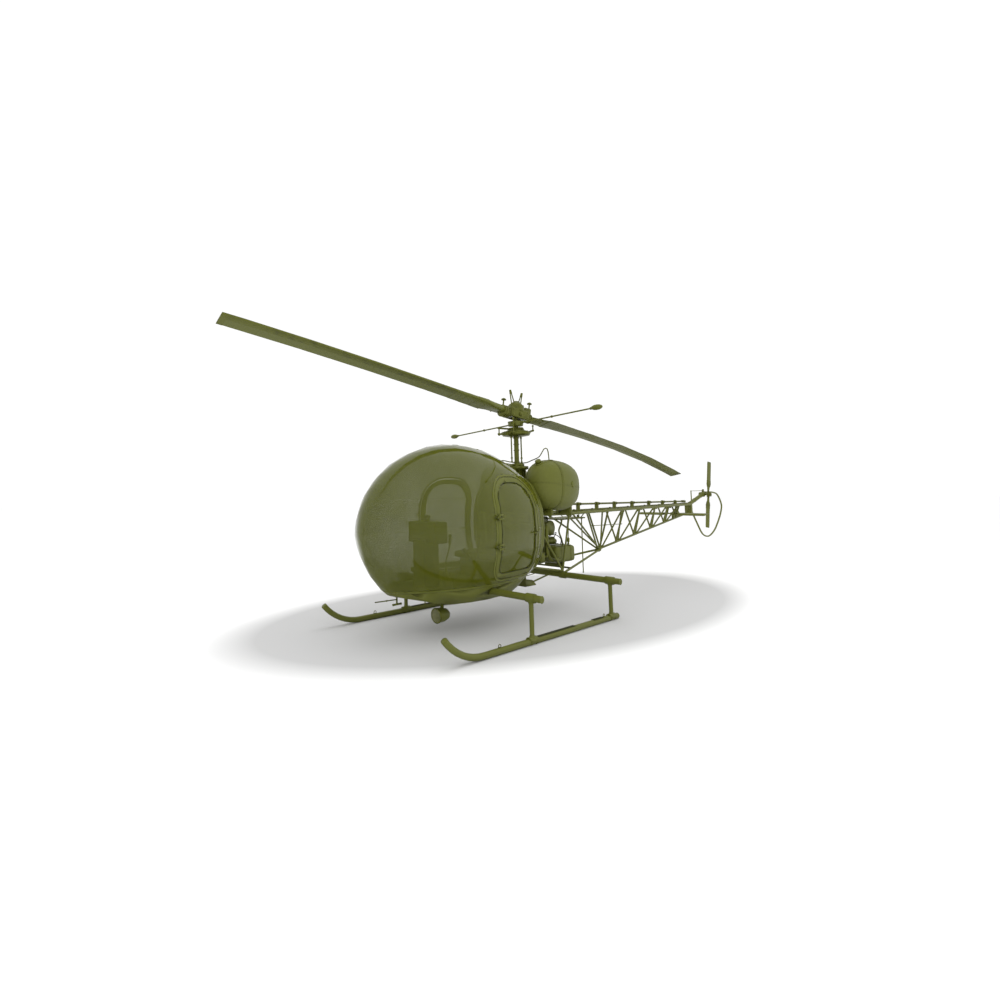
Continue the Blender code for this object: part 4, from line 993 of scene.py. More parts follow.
def dial(radius, ticks, needle_turn):
    """One round instrument facing up: bezel, dark face, pale marks, hub and glass."""
    bezel = turned([(radius * 1.18, 0.0), (radius * 1.18, 0.006), (radius * 1.06, 0.009), (radius, 0.008),
                    (radius * 0.97, 0.003)], 28)
    face = disc(radius * 0.96, 0.0028, 0.0036, 28)
    marks = []
    for i in range(ticks):
        start = radius * (0.78 if i % 2 else 0.7)
        mark = block((start, -0.0009, 0.0036), (radius * 0.9, 0.0009, 0.0042), 0.0002, 1)
        marks.append(moved(mark, Matrix.Rotation(math.radians(-135 + 270 * i / (ticks - 1)), 4, "Z")))
    needle = block((-radius * 0.18, -0.0012, 0.0048), (radius * 0.72, 0.0012, 0.0056), 0.0003, 1)
    marks.append(moved(needle, Matrix.Rotation(math.radians(needle_turn), 4, "Z")))
    hub = turned([(radius * 0.12, 0.0036), (radius * 0.12, 0.006), (radius * 0.06, 0.0066)], 12)
    glass = turned([(radius * 0.99, 0.0072), (radius * 0.99, 0.008), (radius * 0.6, 0.0086)], 28)
    return bezel, hub, face, joined(marks), glass


def panel():
    """Instruments, switches and knobs on the face of the console that looks at the seats."""
    made = []
    turn = 20
    for z, radius, places, ticks in DIAL_ROWS:
        for y in places:
            turn += 67
            where = on(PANEL_X, y, z, (-1, 0, 0), math.pi)
            made.append([moved(one, where) for one in dial(radius, ticks, turn % 250 - 125)])
    bezels, hubs, faces, marks, glasses = zip(*made)
    fitted("dial_bezels", [one for pair in zip(bezels, hubs) for one in pair], METAL)
    fitted("dial_faces", faces, RUBBER)
    fitted("dial_marks", marks, MARKING)
    fitted("dial_glasses", glasses, LENS)

    toggle = joined([turned([(0.006, 0), (0.006, 0.003), (0.004, 0.005)], 8),
                     moved(turned([(0.0018, 0), (0.0026, 0.016), (0.0015, 0.018)], 8),
                           Matrix.Rotation(0.35, 4, "X"))])
    scattered(toggle, [on(PANEL_X, -0.21 + 0.06 * i, 1.176, (-1, 0, 0)) for i in range(8)])
    knob = turned([(0.013, 0), (0.013, 0.01), (0.011, 0.015), (0.006, 0.016)], 14)
    scattered(knob, [on(RADIO_X - 0.006, y, z, (-1, 0, 0)) for y in (-0.07, 0.07) for z in (1.055, 0.985)])
    # How far each plate stands out, its half width, its foot, top and edge, and how deep it sits
    plates = [(0.006, 0.095, 0.95, 1.09, 0.003, -0.0004), (0.009, 0.04, 1.03, 1.072, 0.002, 0.004),
              (0.009, 0.04, 0.968, 1.012, 0.002, 0.004)]
    plates += [(0.004, 0.075, z, z + 0.01, 0.003, -0.0004) for z in (0.7, 0.725, 0.75, 0.775, 0.8)]
    parts = [toggle, knob]
    for out, half, low, high, edge, root in plates:
        parts.append(block(at(RADIO_X - out, -half, low), at(RADIO_X - root, half, high), edge))
    screws = [on(PANEL_X, y, z, (-1, 0, 0)) for y in (-0.245, 0.245) for z in (1.2, 1.29, 1.395)]
    screws += [on(RADIO_X, y, z, (-1, 0, 0)) for y in (-0.1, 0.1) for z in (0.65, 0.88, 1.12)]
    fitted("panel_switches", parts + [rivets(screws, 0.004)], DARK_PAINT)

    bowl = turned([(0.034, 0), (0.036, 0.012), (0.03, 0.02), (0.036, 0.03), (0.038, 0.06), (0.03, 0.074),
                   (0.014, 0.079)], 24)
    card = [moved(block((0.0385, -0.0008, 0.034), (0.0392, 0.0008, 0.048 if i % 3 else 0.054), 0.0002, 1),
                  Matrix.Rotation(i * math.pi / 12, 4, "Z")) for i in range(24)]
    place = centred(1.85, 0, 1.4195)
    fitted("compass_bowl", [moved(bowl, place)], RUBBER)
    fitted("compass_marks", [moved(joined(card), place)], MARKING)


panel()


def ribbed(first, wide, narrow, rise, rows, ends, sides):
    """A ribbed grip or gaiter: rows of (radius, height) between its first radius and its ends."""
    profile = [(first, 0.0)]
    for i in range(rows):
        profile += [(wide[0] - wide[1] * i, wide[2] + rise * i),
                    (narrow[0] - narrow[1] * i, narrow[2] + rise * i)]
    return turned(profile + ends, sides)


def controls():
    """Gaiters, grips and treads of the sticks, the lever and the pedals, and mats under the feet."""
    rubber, metal = [], []
    for side in (1, -1):
        y = side * 0.27
        gaiter = ribbed(0.052, (0.05, 0.006, 0.008), (0.043, 0.006, 0.017), 0.018, 5, [(0.016, 0.1)], 20)
        lean = centred(1.19, y, 1.072) @ Matrix.Rotation(math.radians(-4.8), 4, "Y")
        grip = ribbed(0.021, (0.0225, 0, 0.006), (0.0208, 0, 0.013), 0.014, 7,
                      [(0.024, 0.104), (0.025, 0.118), (0.018, 0.126), (0.006, 0.129)], 18)
        rubber += [moved(gaiter, centred(1.28, y, FLOOR_Z + 0.0005)), moved(grip, lean)]
        metal.append(moved(block((0.018, -0.006, 0.088), (0.032, 0.006, 0.112), 0.003), lean))
        studs = product((0.034, -0.034), repeat=2)
        metal.append(bolts([on(1.28 + dx, y + dy, FLOOR_Z + 0.03) for dx, dy in studs], 0.004))
        mat = block(at(1.18, y - 0.13, FLOOR_Z + 0.0002), at(1.69, y + 0.13, FLOOR_Z + 0.004), 0.0012)
        ridge = block((0, y - 0.12, 0), (0.008, y + 0.12, 0.0035), 0.0012, 1)
        places = [1.2 + 0.026 * i for i in range(18)]
        scattered(ridge, [centred(x, 0, FLOOR_Z + 0.0035) for x in places if not 1.215 < x < 1.345])
        rubber += [mat, ridge]
        rubber += [block(at(1.7655, pedal - 0.044, z), at(1.7705, pedal + 0.044, z + 0.009), 0.0015)
                   for pedal in (side * 0.18, side * 0.36) for z in (0.745, 0.765, 0.785)]
    lever = ribbed(0.0215, (0.0228, 0, 0.008), (0.0212, 0, 0.018), 0.02, 8,
                   [(0.0225, 0.178), (0.0245, 0.186), (0.0245, 0.204), (0.016, 0.208)], 18)
    rubber.append(moved(lever, on(1.12, 0.06, 0.864, (0.13, 0, 0.156))))
    fitted("control_rubber", rubber, RUBBER)
    fitted("control_fittings", metal, FASTENER)


controls()


# Engine

CASE_X = 0.13
GENERATOR_X = -0.52
GENERATOR_Z = 1.21
GENERATOR_R = 0.116


def by_engine(x, y, z):
    """A point given from the engine's axis at ground level."""
    return at(ENGINE_AHEAD + x, y, z)


def engine_block(low, high, bevel, segments=2):
    return block(by_engine(*low), by_engine(*high), bevel, segments)


def cylinder_fittings(side_name, side):
    """Close fins, rocker covers, screws, plugs and their leads, intake pipes and exhaust clamps."""
    outward = Vector((0, side, 0))
    fin = disc(0.0905, 0, 0.0022, 22)
    scattered(fin, [facing(by_engine(0, side * (0.1735 + 0.0085 * i), z), outward)
                    for z in CYLINDER_Z for i in range(14)])
    fitted(f"cylinder_fins_{side_name}", [fin], METAL, smooth=30)

    covers, screws, plugs, leads, pipes = [], [], [], [], []
    for z in CYLINDER_Z:
        for half, near, far, tall, edge in ((0.042, 0.3655, 0.3715, 0.05, (0.004,)),
                                            (0.064, 0.3215, 0.3245, 0.074, (0.001, 1))):
            low, high = sorted((side * near, side * far))
            covers.append(engine_block((-half, low, z - tall), (half, high, z + tall), *edge))
        screws += [facing(by_engine(x, side * 0.365, z + rise), outward)
                   for x in (-0.05, 0.05) for rise in (-0.058, 0, 0.058)]
        for ahead in (1, -1):
            foot = by_engine(ahead * 0.058, side * 0.272, z + 0.034)
            along = Vector((ahead, 0, 0.3)).normalized()
            plug = [turned([(0.012, 0), (0.012, 0.03), (0.01, 0.033)], 6),
                    turned([(0.0085, 0.033), (0.0085, 0.058), (0.0105, 0.06), (0.0105, 0.078),
                            (0.006, 0.084)], 12)]
            plugs.append(moved(joined(plug), facing(foot, along)))
            tip = foot + along * 0.08
            bend = tip + Vector((ahead * 0.022, -side * 0.03, 0.04))
            rail = by_engine(ahead * RAIL_X, side * RAIL_Y, min(z + 0.11, 1.33))
            leads.append(tube([tip, bend, rail.lerp(bend, 0.4), rail], 0.0048, 2, 5))
        root = by_engine(0.062, side * 0.235, z - 0.045)
        pipes.append(tube([root, root + Vector((0.05, -side * 0.01, -0.03)),
                           root + Vector((0.085, -side * 0.07, -0.085)),
                           by_engine(0.12, side * 0.09, max(z - 0.17, 0.745))], 0.0165, 3, 6))
        pipes.append(disc(0.026, 0, 0.008, 12, facing(root, (1, 0, 0))))
        covers += [disc(0.0225, 0, 0.006, 16, facing(by_engine(x, side * 0.345, z), (1, 0, 0)))
                   for x in (-0.078, -0.104)]
    for ahead in (1, -1):
        rail_x, rail_y = ahead * RAIL_X, side * RAIL_Y
        leads.append(tube([by_engine(rail_x, rail_y, 0.86), by_engine(rail_x, rail_y, 1.35),
                           by_engine(rail_x * 0.8, side * 0.11, 1.382)], 0.0105, 3, 6))
        for z in (0.95, 1.15, 1.3):
            covers.append(engine_block((rail_x - 0.016, rail_y - 0.014, z - 0.006),
                                       (rail_x + 0.016, rail_y + 0.014, z + 0.006), 0.002))
            covers.append(tube([by_engine(rail_x, rail_y, z), by_engine(ahead * 0.128, side * 0.122, z)],
                               0.005))
    for name, parts, finish in (
        ("rocker_covers", covers, METAL), ("rocker_screws", [bolts(screws, 0.0052)], FASTENER),
        ("spark_plugs", plugs, FASTENER), ("plug_leads", leads, RUBBER), ("intake_pipes", pipes, METAL),
    ):
        fitted(f"{name}_{side_name}", parts, finish)


def case_fittings():
    """Case bolts, mounts, ribs, sump ring, filter and pump."""
    spots = [(CASE_X, y, z) for z in (0.73, 0.83, 0.93, 1.03, 1.13, 1.23, 1.33) for y in (-0.108, 0.108)]
    spots += [(CASE_X, y, z) for y in (-0.055, 0, 0.055) for z in (0.73, 1.345)]
    heads = [facing(by_engine(*spot), (1, 0, 0)) for spot in spots]
    heads += [facing(by_engine(x, y, 0.64), (0, 0, 1)) for x in (-0.08, 0.08) for y in (-0.095, 0.095)]
    case = [bolts(heads, 0.008)]
    rib = block((0.129, -0.004, -0.005), (0.139, 0.004, 0.005), 0.0015)
    scattered(rib, [Matrix.Translation(by_engine(0, y, 1.02)) @ Matrix.Diagonal((1, 1, 46, 1))
                    for y in (-0.07, 0, 0.07)])
    case.append(rib)
    for place, sides, rows in (
        (Matrix.Translation(by_engine(0, 0, 0.688)), 28,
         ((0.088, -0.004), (0.1, 0), (0.1, 0.012), (0.088, 0.018))),
        (facing(by_engine(CASE_X, -0.04, 0.865), (1, 0, 0)), 24,
         ((0.04, 0), (0.044, 0.006), (0.044, 0.088), (0.036, 0.098), (0.018, 0.102), (0.018, 0.112))),
        (facing(by_engine(CASE_X, 0.045, 1.215), (1, 0, 0)), 24,
         ((0.052, 0), (0.052, 0.022), (0.044, 0.03), (0.044, 0.06), (0.02, 0.066))),
    ):
        case.append(moved(turned(rows, sides), place))
    fitted("case_fittings", case, METAL)


def fan_fittings():
    """Louvres round the fan's housing, its two rings and its bolts."""
    louvre = block((0.2235, -0.0018, 1.442), (0.23, 0.0018, 1.54), 0.0008, 1)
    scattered(louvre, [Matrix.Translation(by_engine(0, 0, 0)) @ Matrix.Rotation(math.radians(6 * i), 4, "Z")
                       for i in range(60)])
    fan = [louvre]
    fan += [collar(0.229, 0.232, 0.012, 48, Matrix.Translation(by_engine(0, 0, z)), 0.002)
            for z in (1.43, 1.538)]
    fan.append(bolts([facing(by_engine(x, y, 1.59), (0, 0, 1)) for x, y in around(12, 0.16)], 0.006))
    fitted("fan_louvres", fan, METAL, smooth=30)


def gearbox_fittings():
    """Ribs, flange bolts, rings, oil sight and filler of the rotor gearbox."""
    rib = joined([block((0.12, -0.004, 1.64), (0.152, 0.004, 1.765), 0.002),
                  block((0.095, -0.004, 1.9), (0.132, 0.004, 2.104), 0.002)])
    scattered(rib, [centred(0, 0, 0) @ Matrix.Rotation(math.radians(22.5 + 30 * i), 4, "Z")
                    for i in range(12)])
    parts = [rib]
    for height, radius, size in ((2.1505, 0.15, 0.0068), (1.632, 0.128, 0.006)):
        parts.append(bolts([on(x, y, height) for x, y in around(16, radius)], size))
    parts += [collar(radius - 0.004, radius, 0.015, 36, centred(0, 0, low)) for low, radius in (
        (1.764, 0.142), (1.842, 0.124))]
    parts.append(round_at(on(0, 0.134, 1.7, (0, 1, 0)), 18, (0.02, 0), (0.02, 0.006), (0.016, 0.01)))
    parts.append(round_at(on(0.098, 0.06, 1.89, (0.75, 0.5, 0.6)), 16, (0.016, 0), (0.016, 0.014),
                          (0.02, 0.016), (0.02, 0.03), (0.012, 0.034)))
    fitted("gearbox_ribs", parts, METAL)


def accessory_fittings():
    """Magneto caps with their leads, the generator's and the starter's ribs, and clip bolts."""
    caps, leads = [], []
    for side in (1, -1):
        end = at(-0.53, side * 0.08, 1.29)
        caps.append(round_at(facing(end, (-1, 0, 0)), 20, (0.04, -0.002), (0.044, 0.002), (0.044, 0.014),
                             (0.034, 0.022), (0.018, 0.024)))
        for i, (y, z) in enumerate(around(6, 0.024)):
            foot = end + Vector((-0.02, y, z))
            ahead = foot + Vector((-0.02, 0, 0.004))
            over = at(-0.42, side * (0.15 + 0.004 * i), 1.362 + 0.005 * i)
            leads.append(tube([foot, ahead, ahead.lerp(over, 0.5) + Vector((-0.015, side * 0.02, 0.035)),
                               over, by_engine(-0.15, side * 0.13, 1.376)], 0.0042, 2, 5))
    rib = disc(0.1165, 0, 0.005, 32)
    scattered(rib, [on(GENERATOR_X, -0.165 + 0.033 * i, GENERATOR_Z, (0, 1, 0)) for i in range(11)])
    starter = disc(0.0615, 0, 0.01, 20)
    scattered(starter, [on(-0.44 - 0.085 * i, 0.06, 1, (-1, 0, 0)) for i in range(4)])
    clips = []
    for y in (-0.15, 0.15):
        for turn in (0.4, 2, 3.6, 5.2):
            across, rise = math.cos(turn), math.sin(turn)
            clips.append(on(GENERATOR_X + GENERATOR_R * across, y, GENERATOR_Z + GENERATOR_R * rise,
                            (across, 0, rise)))
    caps += [rib, starter, bolts(clips, 0.007)]
    caps.append(bolts([on(-0.333, y, z, (-1, 0, 0)) for y in (-0.105, 0.105) for z in (0.965, 1.14, 1.315)],
                      0.006))
    fitted("accessory_caps", caps, METAL)
    fitted("magneto_leads", leads, RUBBER)


def pipe_nut(point, along, size):
    return round_at(facing(point, along), 6, (size, -0.01), (size, 0.01), (size * 0.8, 0.013))


# The fuel line from the left tank; the right one mirrors it
FUEL_ROUTE = ((-0.3, 0.33, 1.53), (-0.3, 0.3, 1.47), (-0.25, 0.23, 1.4), (-0.235, 0.15, 1.36),
              (-0.24, 0.1, 1.332))
# Radius and points of each oil and fuel line
LINE_ROUTES = (
    (0.0105, ((-0.5, -0.12, 0.88), (-0.43, -0.125, 0.89), (-0.3, -0.17, 0.8), (-0.2, -0.14, 0.74))),
    (0.0105, ((-0.5, -0.06, 0.78), (-0.42, -0.06, 0.775), (-0.3, -0.04, 0.74), (-0.194, -0.04, 0.73))),
    (0.0105, ((-0.5, 0.18, 0.8), (-0.44, 0.185, 0.8), (-0.33, 0.2, 0.83), (-0.2, 0.135, 0.78))),
    *((0.008, [(x, side * y, z) for x, y, z in FUEL_ROUTE]) for side in (1, -1)),
    (0.0065, ((-0.78, 0.06, 1.04), (-0.76, 0.12, 1.12), (-0.62, 0.14, 1.1), (-0.48, 0.13, 1.06),
              (-0.336, 0.11, 1.05))),
    (0.0065, ((-0.9, 0.1, 0.93), (-0.9, 0.105, 1.01), (-0.78, 0.11, 1.08), (-0.64, 0.11, 1.095))),
)
BREATHER = ((-0.87, 0.15, 1.316), (-0.862, 0.15, 1.26), (-0.792, 0.15, 1.148), (-0.85, 0.15, 1.02),
            (-0.88, 0.15, 0.928))


def engine_lines():
    """Oil and fuel lines with their nuts, the throttle and mixture rods, the strainer and the breather."""
    lines, nuts = [], []
    for radius, spots in LINE_ROUTES:
        route = [at(*spot) for spot in spots]
        lines.append(tube(route, radius, 3, 8))
        for end, after in ((route[0], route[1]), (route[-1], route[-2])):
            nuts.append(pipe_nut(end, after - end, radius * 1.5))
    fitted("oil_and_fuel_lines", lines, RUBBER)
    rods = [line([(0.2, y, 0.56), (-0.02, y * 1.1, 0.58)], 0.006) for y in (0.215, -0.215)]
    for y in (0.3, -0.3):
        foot, top = (0.195, y, 1.42), (0.125, y * 0.4, 1.86)
        rods.append(line([foot, (0.11, y * 0.75, 1.64), top], 0.0075))
        nuts += [pipe_nut(at(*foot), (0, 0, 1), 0.016), pipe_nut(at(*top), (0, y, 0), 0.014)]
    top, foot = at(-1.023, 0.175, 1.316), at(-0.957, 0.2, 0.93)
    down = (foot - top).normalized()
    rods += [tube([top, foot], 0.0065),
             round_at(facing(top + down * 0.285, down), 18, (0.008, 0), (0.016, 0.008), (0.02, 0.02),
                      (0.02, 0.06), (0.014, 0.078), (0.008, 0.086)),
             line(BREATHER, 0.013, 3, 8)]
    for spot, along in ((top, down), (foot, -down), (at(*BREATHER[0]), Vector((0, 0, -1))),
                        (at(*BREATHER[-1]), Vector((0, 0, 1)))):
        nuts.append(pipe_nut(spot + along * 0.01, along, 0.018))
    fitted("engine_rods", rods, METAL)
    fitted("pipe_nuts", nuts, FASTENER)


for side_name, side in SIDES:
    cylinder_fittings(side_name, side)
case_fittings()
fan_fittings()
gearbox_fittings()
accessory_fittings()
engine_lines()


# Tanks

TANK_Y = 0.44
TANK_LEAN = math.radians(6)
FILLER_X = 0.06
OIL_STRAPS = (-0.64, -0.87)


def cap(radius, place):
    """A screw filler cap on its neck."""
    narrow, wide = radius * 0.85, radius * 1.05
    grips = [moved(block((radius * 0.92, -0.003, 0.032), (radius * 1.04, 0.003, 0.046), 0.001, 1),
                   Matrix.Rotation(i * math.pi / 6, 4, "Z")) for i in range(12)]
    return moved(joined([turned([(narrow, -0.02), (narrow, 0.024), (wide, 0.026), (wide, 0.03)], 24),
                         turned([(radius, 0.03), (radius, 0.048), (narrow, 0.054)], 24)] + grips), place)


def lug(low, high, size, place):
    """A strap's bolted end."""
    return moved(joined([block(low, high, 0.002), bolt(size)]), place)


def strap_band(name, x, half, thick):
    return band(name, ((at(x + half, 0, 0), (1, 0, 0)), (at(x - half, 0, 0), (-1, 0, 0))), thick)


def tank_fittings(side_name, side):
    """Bolted straps over the saddles, the pressed seam, the filler, the gauge plate and the drain."""
    tank = f"fuel_tank_{side_name}"
    straps = []
    for x in (-0.112, -0.583):
        straps.append(strap_band(tank, x, 0.019, 0.003))
        for y in (0.3, 0.54):
            straps += [lug((-0.024, -0.018, 0.002), (0.024, 0.018, 0.009), 0.007, place)
                       for place in rests(tank, at(x, side * y, 3), (0, 0, -1), 0.0005)]
    fitted(f"tank_straps_{side_name}", straps, METAL)
    lean = Vector((math.sin(TANK_LEAN), 0, -math.cos(TANK_LEAN)))
    middle = at(-0.25, side * TANK_Y, 1.86)
    seam = band(tank, ((middle - lean * 0.0045, -lean), (middle + lean * 0.0045, lean)), 0.0045)
    neck, up = onto(tank, at(FILLER_X, side * TANK_Y, 3), (0, 0, -1))
    filler = cap(0.042, facing(neck, up))
    rim = round_at(facing(neck, up), 28, (0.062, -0.012), (0.062, 0.003), (0.056, 0.007))
    turn = up.to_track_quat("Z", "Y")
    ring = bolts([facing(neck + up * 0.006 + turn @ Vector((x, y, 0)), up) for x, y in around(8, 0.052)],
                 0.004)
    drain = round_at(facing(*onto(tank, at(-0.35, side * TANK_Y, 0.5), (0, 0, 1))), 18, (0.022, -0.01),
                     (0.022, 0.006), (0.012, 0.008), (0.012, 0.032), (0.016, 0.034), (0.016, 0.042))
    gauge = round_at(facing(*onto(tank, at(-0.35, side * 2, 1.87), (0, -side, 0))), 24, (0.046, -0.006),
                     (0.046, 0.005), (0.04, 0.009), (0.03, 0.01))
    fitted(f"tank_fittings_{side_name}", [seam, filler, rim, ring, drain, gauge], PAINT)


for side_name, side in SIDES:
    tank_fittings(side_name, side)

straps = [strap_band("oil_tank", x, 0.015, 0.0025) for x in OIL_STRAPS]
straps += [lug((-0.018, -0.026, 0), (0.018, 0.026, 0.01), 0.006, on(x, 0.04, 0.9325)) for x in OIL_STRAPS]
fitted("oil_tank_straps", straps, METAL)
fitted("oil_tank_cap", [cap(0.03, on(-0.76, -0.12, 0.93))], PAINT)


# Boom and tail

BOOM_FRONT = (-0.96, 0.26)
BOOM_END = (-5.8, 0.062)
SHAFT_FRONT = (-0.9, 1.552)
SHAFT_END = (-5.56, 1.484)
SHAFT_STEP = (-0.86, 1.5525)
SHAFT_TOP = (-0.12, 1.642)
BRACE_GAP = 0.018
STAY_SPOTS = ((-1.785, 1.178), (-2.157, 1.168), (-2.748, 1.153))
END_PLATE = (-5.862, 1.31)
END_STRUT = (-5.84, 1.411)


def between(x, first, last):
    """The value at x on the line through two (x, value) pairs."""
    return first[1] + (last[1] - first[1]) * (x - first[0]) / (last[0] - first[0])


def boom_half(x):
    return between(x, BOOM_FRONT, BOOM_END)


def keel_height(x):
    return KEEL_Z + KEEL_RISE * (-2.157 - x)


def shaft_height(x):
    return between(x, SHAFT_FRONT, SHAFT_END)


def rod_side(x):
    """How far from the middle the control rods run at a station."""
    return min(0.085, boom_half(x) - 0.04)


def in_middle(spot):
    return at(spot[0], 0, spot[1])


def sleeves(low, high, near, far):
    """A weld collar near each end of a tube that runs from low to high."""
    along = (high - low).normalized()
    rows = ((0.013, 0), (0.019, 0.004), (0.018, 0.016), (0.013, 0.02))
    return [round_at(facing(spot, way), 12, *rows)
            for spot, way in ((low + along * near, along), (high - along * far, -along))]


def boom_fittings():
    """Gussets and weld collars at the nodes, hanger caps, guides and bolts."""
    collars, gussets, heads = [], [], []
    for i, x in enumerate(STATIONS[1:]):
        for side in (1, -1):
            near = x + side * BRACE_GAP * (1 if i else 0)
            low = at(near, 0 if i else side * BRACE_GAP, keel_height(near))
            collars += sleeves(low, at(near, side * boom_half(x), BOOM_Z), 0.03, 0.022)
    for x, after in zip(STATIONS[1:], STATIONS[2:]):
        for side in (1, -1):
            start = x - (4.5 + side) * BRACE_GAP
            top = after + 4.5 * BRACE_GAP
            half, keel = boom_half(top), keel_height(top)
            collars += sleeves(at(start, 0, keel_height(start)), at(top, side * half, BOOM_Z), 0.026, 0.026)
            plate = block((-0.045, -0.0018, -0.052), (0.045, 0.0018, 0), 0.0015, 1)
            lean = Matrix.Rotation(-side * math.atan2(half, BOOM_Z - keel), 4, "X")
            gussets.append(moved(plate, centred(top - 0.01, side * (half - 0.004), BOOM_Z - 0.012) @ lean))
    for x in STATIONS:
        height = shaft_height(x)
        collars.append(moved(block((-0.013, -0.036, -0.01), (0.013, 0.036, 0.01), 0.003),
                             centred(x, 0, height)))
        for side in (1, -1):
            heads += [on(x, side * 0.0335, height + 0.009),
                      on(x, side * (boom_half(x) - 0.05), BOOM_Z + 0.01)]
            collars.append(moved(block((-0.016, -0.012, 0), (0.016, 0.012, 0.03), 0.003),
                                 centred(x, side * rod_side(x), BOOM_Z + 0.009)))
    fitted("boom_collars", collars, PAINT)
    fitted("boom_gussets", gussets, PAINT)
    heads += [on(x, y, 1.335) for x in (-1, -1.4) for y in (-0.16, -0.05, 0.05, 0.16)]
    heads += [on(-5.86, y, z, (-1, 0, 0)) for y in (-0.052, 0.052) for z in (1.245, 1.33, 1.42)]
    fitted("boom_bolts", [bolts(heads, 0.0062)], FASTENER)


def shaft_fittings():
    """Couplings along the boom's shaft and the shaft that joins it to the gearbox."""
    direction = (in_middle(SHAFT_END) - in_middle(SHAFT_FRONT)).normalized()
    joint = joined([disc(0.0245, 0, 0.007, 20), disc(0.02, 0.007, 0.011, 20), disc(0.0245, 0.011, 0.018, 20)])
    spots = [x - 0.06 for x in STATIONS[:-1]] + [-0.93, -5.5]
    scattered(joint, [facing(at(x, 0, shaft_height(x)), direction) for x in spots])
    step, top = in_middle(SHAFT_STEP), in_middle(SHAFT_TOP)
    ahead = (top - step).normalized()
    fitted("shaft_couplings", [
        joint, tube([at(-0.91, 0, 1.552), step], 0.03, 3), tube([step, top], 0.0165, 3),
        round_at(facing(at(-0.87, 0, 1.5515), ahead), 20, (0.028, 0), (0.028, 0.012), (0.018, 0.05)),
        round_at(facing(at(-0.205, 0, 1.6317), ahead), 20, (0.034, 0), (0.034, 0.018), (0.026, 0.022),
                 (0.026, 0.06)),
        tube([in_middle(SHAFT_END), at(-5.64, 0, 1.482)], 0.026, 3),
    ], METAL)


def rod_fittings():
    """Control rods in their guides along the boom, and the rod clipped to the braces of its left side."""
    rods, guides = [], []
    for side in (1, -1):
        path = [(x, side * rod_side(x), BOOM_Z + 0.027) for x in STATIONS]
        rods.append(line([(-1.44, side * 0.085, 1.36), *path, (-5.78, side * 0.03, BOOM_Z + 0.033)], 0.0055))
        guides.append(moved(block((-0.02, -0.014, 0), (0.02, 0.014, 0.036), 0.004),
                            centred(-1.44, side * 0.085, 1.335)))
    clips = []
    for x, z in STAY_SPOTS:
        hits = [met("tail_boom", at(x + 0.005 * i, 1, z), (0, -1, 0)) for i in range(-12, 13)]
        clips.append(max((hit[0] for hit in hits if hit), key=lambda spot: spot.y) + Vector((0, 0.004, 0)))
    front = clips[0] + (clips[0] - clips[1]).normalized() * 0.115
    rear = clips[2] + (clips[2] - clips[1]).normalized() * 0.04
    rods.append(tube([front, *clips, rear], 0.006))
    guides += [moved(block((-0.01, -0.012, -0.009), (0.01, 0.008, 0.009), 0.003), Matrix.Translation(spot))
               for spot in clips]
    fitted("control_rods", rods, METAL)
    fitted("rod_guides", guides, METAL)


def tail_fittings():
    """Gearbox bolts, the loop's and the strut's clamps and the tail light."""
    centre = Vector((TAIL_X, 0, TAIL_Z))
    heads = []
    for x, z in around(8, 0.043, 0.2):
        heads += rests("tail_gearbox", centre + Vector((x, -0.156, z)), (0, 1, 0))
    stub = Vector((-0.13, 0, 0.034)).normalized()
    foot = in_middle(END_STRUT)
    strut = (centre - foot).normalized()
    parts = [bolts(heads, 0.005), collar(0.036, 0.04, 0.018, 18, facing(centre + stub * 0.112, stub), 0.004),
             collar(0.021, 0.024, 0.025, 16, facing(centre + stub * 0.14, stub)),
             collar(0.021, 0.026, 0.015, 16, facing(in_middle(END_PLATE), (-1, 0, 0)))]
    parts += [collar(0.0395, 0.044, 0.014, 20, facing(foot + strut * step, strut))
              for step in (0.03, 0.3, 0.64)]
    fitted("tail_case_fittings", parts, METAL)
    place = on(END_PLATE[0], 0, 1.385, (-1, 0, 0))
    fitted("tail_light_base", [round_at(place, 18, (0.02, 0), (0.024, 0.004), (0.024, 0.014))], METAL)
    glass = round_at(place, 18, (0.019, 0.012), (0.021, 0.02), (0.017, 0.034), (0.008, 0.041))
    fitted("tail_light_glass", [glass], LENS)


boom_fittings()
shaft_fittings()
rod_fittings()
tail_fittings()

TAIL_AXIS = Matrix.Translation((TAIL_X, TAIL_Y, TAIL_Z)) @ Matrix.Rotation(math.radians(-TAIL_LEAN), 4, "Y")


def by_tail(*spot):
    """A point given from the tail rotor's middle, with its blades along Z."""
    return TAIL_AXIS @ Vector(spot)


